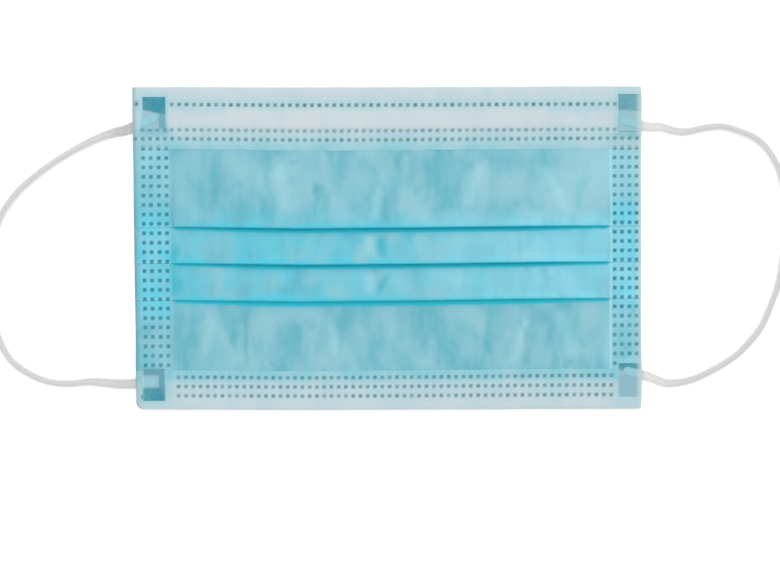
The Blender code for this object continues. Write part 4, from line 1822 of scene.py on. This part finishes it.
@dataclass
class EarLoop:
    """A round knitted elastic on the surface, whose flattened ends go under the cloth's corners."""

    side: Side
    route: tuple
    welds: list[WeldSpot]
    sides: int = 32
    ring_step: float = 0.26 * MM
    wales: int = 8
    course: float = 1.05 * MM
    relief: float = 0.065 * MM
    sunk: float = 0.06 * MM
    swell: float = 0.025
    swell_length: float = 23.0 * MM
    flat_half_height: float = 0.46 * MM
    flat_from: float = 109.0 * MM
    past_weld: float = 2.4 * MM
    fine_steps: int = 60

    def __post_init__(self) -> None:
        """Works out the loop's names, its thickness and its path."""
        side = self.side.name.lower()
        self.name, self.node = f"{side}_ear_loop", f"ear_loop_{side}"
        low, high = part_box(self.node)
        self.radius = (high[2] - low[2]) / 2
        self.flat_half_width = (1.8 if self.side is Side.LEFT else 1.65) * MM
        mine = {weld.end: weld for weld in self.welds if weld.side is self.side}
        first = self.inner_end(mine[End.NOSE], self.route[0])
        last = self.inner_end(mine[End.CHIN], self.route[-1])
        self.path = self.smooth_path([first, *self.route, last])

    def inner_end(self, weld: WeldSpot, start: tuple[float, float]) -> tuple[float, float]:
        """Finds where the loop's flattened end stops, past the middle of its weld.

        Args:
            weld: The weld.
            start: Where the loop comes out from under the cloth.

        Returns:
            The end's place.
        """
        middle = np.array([weld.loop_x, weld.loop_y])
        toward = middle - np.array(start)
        end = middle + toward / np.linalg.norm(toward) * self.past_weld
        return float(end[0]), float(end[1])

    def smooth_path(self, route: list[tuple[float, float]]) -> Array:
        """Draws a smooth curve through a route.

        Args:
            route: The points that it goes through.

        Returns:
            Points on it, a ring's step apart.
        """
        points = np.array(route)
        padded = np.vstack((2 * points[0] - points[1], points, 2 * points[-1] - points[-2]))
        share = np.linspace(0, 1, self.fine_steps, endpoint=False)[:, None]
        parts = []
        for before, start, end, after in zip(padded, padded[1:], padded[2:], padded[3:]):
            out, back = (end - before) / 2, (after - start) / 2
            parts.append(
                start
                + out * share
                + (3 * (end - start) - 2 * out - back) * share**2
                + (2 * (start - end) + out + back) * share**3
            )
        fine = np.vstack((*parts, points[-1:]))
        travelled = np.concatenate(([0], np.cumsum(np.linalg.norm(np.diff(fine, axis=0), axis=1))))
        count = round(travelled[-1] / self.ring_step)
        wanted = np.linspace(0, travelled[-1], count + 1)
        return np.stack([np.interp(wanted, travelled, fine[:, axis]) for axis in (0, 1)], axis=-1)

    def flatness(self) -> Array:
        """How flat the elastic is along its path: 0 where it is round and 1 in the welds."""
        edge = abs(self.route[0][0])
        return ease((self.flat_from - abs(self.path[:, 0])) / (self.flat_from - edge))

    def end_mask(self, weld: WeldSpot, x: Array, y: Array) -> Array:
        """Finds the loop's flattened end in a weld.

        Args:
            weld: The weld.
            x: Places across the width.
            y: Places along the length.

        Returns:
            How far points are over the end, from 0 outside to 1 inside.
        """
        near = self.path[np.hypot(self.path[:, 0] - weld.loop_x, self.path[:, 1] - weld.loop_y) < 16 * MM]
        tip = near[np.argmin(abs(near[:, 0]))]
        core = near[np.hypot(near[:, 0] - tip[0], near[:, 1] - tip[1]) > 0.7 * self.flat_half_width]
        gaps = np.hypot(x[:, None] - core[None, :, 0], y[:, None] - core[None, :, 1]).min(axis=1)
        return ease((self.flat_half_width + 0.15 * MM - gaps) / (0.7 * MM))

    def build(self, material: Material) -> Piece:
        """Args:
            material: The elastic's finish.

        Returns:
            The loop's piece.
        """
        path = self.path
        ahead = np.gradient(path, axis=0)
        ahead = ahead / np.linalg.norm(ahead, axis=1, keepdims=True)
        beside = np.stack((ahead[:, 1], -ahead[:, 0]), axis=-1)
        travelled = np.arange(len(path)) * self.ring_step
        flat = self.flatness()[:, None]
        wide = self.radius + (self.flat_half_width - self.radius) * flat
        tall = self.radius + (self.flat_half_height - self.radius) * flat
        angle = (np.arange(self.sides) * 2 * math.pi / self.sides)[None, :]
        knit = self.knit(travelled[:, None], angle)
        relief = self.relief * knit * (1 - 0.6 * flat)
        swell = 1 + self.swell * np.sin(travelled * 2 * math.pi / self.swell_length)[:, None]
        power = 1 - 0.35 * flat
        across = np.sign(np.cos(angle)) * np.abs(np.cos(angle)) ** power
        up = np.sign(np.sin(angle)) * np.abs(np.sin(angle)) ** power
        width = (wide * swell + relief - self.sunk) * across
        height = (tall * swell + relief - self.sunk) * up
        x = path[:, 0, None] + beside[:, 0, None] * width
        y = path[:, 1, None] + beside[:, 1, None] * width
        rings = np.stack((x, y, tall + height), axis=-1)
        piece = self.tube(rings, travelled, angle.ravel(), self.paint(angle, knit))
        piece.data.materials.append(material)
        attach(piece, "root")
        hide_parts(self.node)
        LOG.info("%s: %d faces", piece.name, len(piece.data.polygons))
        return piece

    def knit(self, travelled: Array, angle: Array) -> Array:
        """Works out the knitted relief: wales along the elastic, and slanting courses across them.

        Args:
            travelled: Length of the elastic up to each ring.
            angle: Turn of each point round its ring.

        Returns:
            The relief, from -1 in the valleys to 1 on the wales.
        """
        column = angle * self.wales
        slant = np.abs(np.sin(column / 2)) * 2.4
        courses = 0.5 * np.cos(travelled * 2 * math.pi / self.course + slant)
        return 0.5 * np.cos(column) + 0.5 * courses

    def paint(self, angle: Array, knit: Array) -> dict[str, Array]:
        """Works out the elastic's paint: painted shade in its valleys, painted light on its flanks, lighter
        right ends, and the painted shadow of the cloth's edge on the left ends.

        Args:
            angle: Turn of each point round its ring.
            knit: The knitted relief.

        Returns:
            Each painted value by name, from 0 to 1.
        """
        reach = abs(self.path[:, 0, None]) - abs(self.route[0][0])
        by_height = np.where(self.path[:, 1, None] > 0, 0.7, 0.2)
        # Painted shadow of the cloth's edge, on the left loop near the cloth.
        cloth_edge_shadow = ease(1 - reach / (9 * MM)) * by_height * (self.side is Side.LEFT)
        # The right loop is painted lighter near the cloth.
        bright = 0.24 * ease(1 - reach / (14 * MM)) * (self.side is Side.RIGHT)
        # Painted light on the flanks.
        flank = 0.5 * ease((abs(np.cos(angle)) - 0.62) / 0.38)
        return {
            # Painted shade in the knit's valleys.
            "valley": 0.5 - 0.5 * knit,
            "flank": np.maximum(flank, bright) + 0 * knit,
            "cloth_edge_shadow": cloth_edge_shadow + 0 * knit,
        }

    def tube(self, rings: Array, travelled: Array, angle: Array, values: dict[str, Array]) -> Piece:
        """Makes the tube's mesh with closed ends, its map and its painted values.

        Args:
            rings: The tube's points, ring by ring.
            travelled: Length of the elastic up to each ring.
            angle: Turn of each point round its ring.
            values: What is painted on each point, from 0 to 1, by name.

        Returns:
            The tube's object.
        """
        count, sides = rings.shape[:2]
        index = np.arange(count * sides).reshape(count, sides)
        following = np.roll(index, -1, axis=1)
        quads = np.stack((index[:-1], index[1:], following[1:], following[:-1]), axis=-1)
        faces = quads.reshape(-1, 4).tolist()
        faces.append(index[0].tolist())
        faces.append(index[-1][::-1].tolist())
        mesh = bpy.data.meshes.new(self.name)
        mesh.from_pydata(rings.reshape(-1, 3).tolist(), [], faces)
        around = np.concatenate((angle, [2 * math.pi])) * self.radius
        ring = np.repeat(np.arange(count - 1), sides)
        spoke = np.tile(np.arange(sides), count - 1)
        u = np.stack((around[spoke], around[spoke], around[spoke + 1], around[spoke + 1]), axis=-1)
        v = np.stack((travelled[ring], travelled[ring + 1], travelled[ring + 1], travelled[ring]), axis=-1)
        pairs = np.stack((u, v), axis=-1).reshape(-1, 2)
        caps = np.column_stack((np.tile(around[:-1], 2), np.repeat((0.0, travelled[-1]), sides)))
        layer = mesh.uv_layers.new(name="cut")
        layer.data.foreach_set("uv", np.vstack((pairs, caps)).astype(np.float32).ravel())
        for name, painted in values.items():
            paint_points(mesh, name, painted)
        return add_piece(self.name, mesh, 60)


class Mask:
    """The whole mask: the shared plan, lie and welds, and the calls that its pieces need."""

    def __init__(self) -> None:
        """Works the shared shapes out from the frame."""
        self.cloth = Cloth()
        self.plan = Plan.from_frame()
        self.welds = weld_spots(self.plan)
        self.dots = WeldDots(self.welds)
        creases = [Crease(*(value * MM for value in sizes), slant) for *sizes, slant in CREASES]
        self.lie = Lie(self.cloth, self.welds, tuple(creases))
        self.laminate = Laminate(self.cloth, self.lie, self.dots)
        self.strip = NoseStrip.from_frame()

    def width_lines(self, marks: Array) -> Array:
        """Works out the lines across the width of a sheet.

        Args:
            marks: Where lines are wanted.

        Returns:
            The lines, with one at each side of each window and at each side band's slope.
        """
        windows = [value for weld in self.welds for value in (weld.low[0], weld.high[0])]
        slope = self.cloth.band_slope
        bands = [self.cloth.left_band + share * slope for share in (0.0, 0.5, 1.0)]
        bands += [self.cloth.right_band - share * slope for share in (0.0, 0.5, 1.0)]
        half = self.plan.half_width
        return lines_between(np.concatenate((windows, marks, bands)), -half, half, LINE_STEP)

    def lay(self, x: Array, trace: Trace, offset: Array) -> tuple[Array, Array]:
        """Lays a layer of cloth beside the laminate's line.

        Args:
            x: The lines across the width.
            trace: The laminate's line.
            offset: How far the layer lies from the line, up being positive.

        Returns:
            The layer's points, and their places along the uncut outline.
        """
        run_y = np.gradient(trace.y, axis=1)
        run_z = np.gradient(trace.level, axis=1)
        length = np.hypot(run_y, run_z)
        y = trace.y - run_z / length * offset
        level = trace.level + run_y / length * offset
        wide_x = x[:, None] + 0 * y
        place_x, place_y = self.plan.place(wide_x, y)
        return np.stack((place_x, place_y, level + self.lie.height(wide_x, y)), axis=-1), y

    def cut_length(self, points: Array) -> Array:
        """Length of the cloth up to each line, measured down the middle."""
        middle = points[points.shape[0] // 2]
        steps = np.linalg.norm(np.diff(middle, axis=0), axis=1)
        return np.concatenate(([0.0], np.cumsum(steps)))

    def paint_edges(self, sheet: ClothMesh, across: Array, force: Array, grey_patch: Array | float = 0.0) -> None:
        """Greys the left edge with painted shade, pales the right edge, and adds any other grey patch of a
        sheet.

        Args:
            sheet: The sheet.
            across: Places across the width.
            force: How strong the edges are, where 1 is the hems' own.
            grey_patch: Grey patches of another kind, from 0 to 1.
        """
        left = ease(1 - (across + self.plan.half_width - 0.4 * MM) / (1.3 * MM))
        right = ease(1 - (self.plan.half_width - across) / (2.4 * MM))
        # The left edge takes painted shade, and the other grey patches are added to it.
        sheet.paint("greyed", np.maximum(0.5 * left * force, grey_patch))
        # The right edge is paler.
        sheet.paint("crease_shade_and_pale_edge", 0.7 * right * force)

    def finish_sheet(
        self, sheet: ClothMesh, x: Array, y: Array, thickness: Array, material: Material
    ) -> Piece:
        """Opens the welds' windows in a sheet, builds it and gives it its material.

        Args:
            sheet: The sheet.
            x: Place of each line across the width.
            y: Place of each point along the length.
            thickness: The cloth's thickness at each point.
            material: Its finish.

        Returns:
            The sheet's piece.
        """
        for weld in self.welds:
            sheet.open_window(weld, x, y)
        piece = sheet.build(thickness)
        piece.data.materials.append(material)
        return piece

    def claim(self, piece: Piece, slot: str, node: str) -> None:
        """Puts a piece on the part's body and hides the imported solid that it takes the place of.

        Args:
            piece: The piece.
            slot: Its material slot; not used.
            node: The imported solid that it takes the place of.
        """
        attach(piece, "root")
        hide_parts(node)
        LOG.info("%s: %d faces", piece.name, len(piece.data.polygons))


@dataclass(frozen=True)
class Studio:
    """The pale tabletop, the soft light and the camera straight above."""

    eye: tuple[float, float] = (1.2 * MM, -11.6 * MM)
    seen_width: float = 268.7 * MM
    lens: float = 100.0
    sensor: float = 36.0
    table_size: float = 6.0
    table_glow: float = 0.16
    room_light: float = 0.94
    key_place: tuple[float, float, float] = (-0.15, 0.6, 1.15)
    key_size: float = 0.9
    key_power: float = 4.5

    def build(self) -> None:
        """Adds the tabletop, the lights and the camera."""
        self.tabletop()
        self.key_light()
        self.surroundings()
        self.camera()
        bpy.context.scene.view_settings.view_transform = "Standard"

    def tabletop(self) -> None:
        """A wide white surface under the mask, faintly lit from below like a light table."""
        clear_selection()
        bpy.ops.mesh.primitive_plane_add(size=self.table_size, location=(0.0, 0.0, 0.0))
        top = bpy.context.object
        top.name = "tabletop"
        made, board, shader = new_material("matt white")
        tone = board.mix(board.noise(board.place(), 30.0), (0.93, 0.93, 0.93, 1.0), (0.95, 0.95, 0.95, 1.0))
        board.feed(shader, Base_Color=tone, Roughness=0.9, Specular_IOR_Level=0.1)
        board.feed(shader, Emission_Color=WHITEST, Emission_Strength=self.table_glow)
        top.data.materials.append(made)

    def key_light(self) -> None:
        """A square softbox behind the nose edge, which faces the mask."""
        data = bpy.data.lights.new("key", "AREA")
        data.size = self.key_size
        data.energy = self.key_power
        lamp = bpy.data.objects.new("key", data)
        lamp.location = self.key_place
        turn = Vector(self.key_place).to_track_quat("Z", "Y")
        lamp.rotation_euler = turn.to_euler()
        bpy.context.scene.collection.objects.link(lamp)

    def surroundings(self) -> None:
        """An even white room."""
        world = bpy.data.worlds.new("white room")
        world.use_nodes = True
        back = world.node_tree.nodes["Background"]
        back.inputs["Color"].default_value = WHITEST
        back.inputs["Strength"].default_value = self.room_light
        bpy.context.scene.world = world

    def camera(self) -> None:
        """The camera, straight above the middle of the picture."""
        data = bpy.data.cameras.new("camera")
        data.lens = self.lens
        data.sensor_width = self.sensor
        data.clip_start = 10 * MM
        camera = bpy.data.objects.new("camera", data)
        camera.location = (*self.eye, self.seen_width * self.lens / self.sensor)
        bpy.context.scene.collection.objects.link(camera)
        bpy.context.scene.camera = camera


LEFT_ROUTE = (
    (-0.0898, 0.0407), (-0.0930, 0.0400), (-0.0987, 0.0381), (-0.1056, 0.0348),
    (-0.1124, 0.0308), (-0.1193, 0.0260), (-0.1262, 0.0200), (-0.1314, 0.0133),
    (-0.1348, 0.0057), (-0.1365, -0.0033), (-0.1367, -0.0126), (-0.1357, -0.0219),
    (-0.1334, -0.0308), (-0.1292, -0.0384), (-0.1228, -0.0432), (-0.1159, -0.0459),
    (-0.1090, -0.0465), (-0.1021, -0.0459), (-0.0952, -0.0464), (-0.0898, -0.0467),
)
RIGHT_ROUTE = (
    (0.0898, 0.0419), (0.0941, 0.0418), (0.0975, 0.0408), (0.1009, 0.0401),
    (0.1044, 0.0403), (0.1078, 0.0411), (0.1113, 0.0417), (0.1147, 0.0419),
    (0.1182, 0.0413), (0.1250, 0.0388), (0.1285, 0.0365), (0.1319, 0.0327),
    (0.1352, 0.0260), (0.1370, 0.0170), (0.1374, 0.0080), (0.1365, -0.0010),
    (0.1350, -0.0108), (0.1315, -0.0210), (0.1280, -0.0281), (0.1222, -0.0349),
    (0.1179, -0.0384), (0.1122, -0.0418), (0.1044, -0.0453), (0.0975, -0.0464),
    (0.0941, -0.0458), (0.0898, -0.0440),
)

BLUE = ClothFinish(
    name="blue spunbond",
    body=colour(96, 171, 186),
    cloudy=colour(138, 189, 201),
    cool=colour(80, 163, 179),
    deep=colour(76, 194, 217),
    fold=colour(24, 190, 210),
    dot=colour(26, 118, 136),
    pale=colour(174, 220, 230),
    lit=colour(138, 215, 233),
    greyed=colour(84, 108, 114),
    crease_shade_and_pale_edge=colour(178, 204, 203),
    tufted=0.72,
)
WHITE = ClothFinish(
    name="white spunbond",
    body=colour(190, 204, 209),
    cloudy=colour(198, 207, 211),
    cool=colour(176, 206, 212),
    deep=colour(106, 189, 203),
    fold=colour(104, 150, 158),
    dot=colour(58, 112, 121),
    pale=colour(210, 220, 224),
    lit=colour(200, 214, 218),
    greyed=colour(128, 142, 145),
    crease_shade_and_pale_edge=colour(190, 206, 206),
    tufted=0.25,
)
FUSED = FilmFinish(
    name="fused film",
    dark=colour(0, 130, 150),
    light=colour(138, 179, 190),
    elastic=colour(130, 193, 206),
    frayed=colour(186, 206, 207),
)
ELASTIC = ElasticFinish(
    name="white elastic", yarn=colour(206, 206, 205), gap=colour(174, 174, 174), cloth_edge_shadow=colour(162, 162, 160)
)
COATED = StripFinish(name="coated wire", coating=colour(225, 225, 225))
NOSE_HEM_THROUGH = (
    (0.0, 2.6 * MM, 5.0 * MM, 8.0 * MM, 9.4 * MM, 13.0 * MM, 14.4 * MM, 17.8 * MM, 19.2 * MM, 21.7 * MM),
    (0.04, 0.14, 0.36, 0.36, 0.10, 0.10, 0.32, 0.48, 0.70, 0.80),
)
CHIN_HEM_THROUGH = (
    (0.0, 3.5 * MM, 5.5 * MM, 9.2 * MM, 10.6 * MM, 13.5 * MM),
    (0.12, 0.22, 0.32, 0.38, 0.80, 0.84),
)


def main() -> None:
    """Builds the studio and the mask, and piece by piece."""
    logging.basicConfig(level=logging.INFO, format="%(name)s: %(message)s")
    Studio().build()
    mask = Mask()
    effects = Effects()
    elastic = ELASTIC.material(effects)
    loops = {}
    for side, route in ((Side.LEFT, LEFT_ROUTE), (Side.RIGHT, RIGHT_ROUTE)):
        loops[side] = EarLoop(side, route, mask.welds)
        loops[side].build(elastic)
    white = WHITE.material(effects)
    hems = [
        Hem("nose_hem", End.NOSE, mask.cloth.nose_hem, *NOSE_HEM_THROUGH).build(mask, white),
        Hem("chin_hem", End.CHIN, mask.cloth.chin_hem, *CHIN_HEM_THROUGH).build(mask, white),
    ]
    Lining(mask).build(white, hems)
    Cover(mask).build(BLUE.material(effects))
    mask.strip.build(mask, COATED.material())
    film = FUSED.material(effects)
    for weld in mask.welds:
        FusedSpot(mask, weld, loops[weld.side]).build(film)
    bpy.context.view_layer.update()


if __name__ == "__main__":
    main()
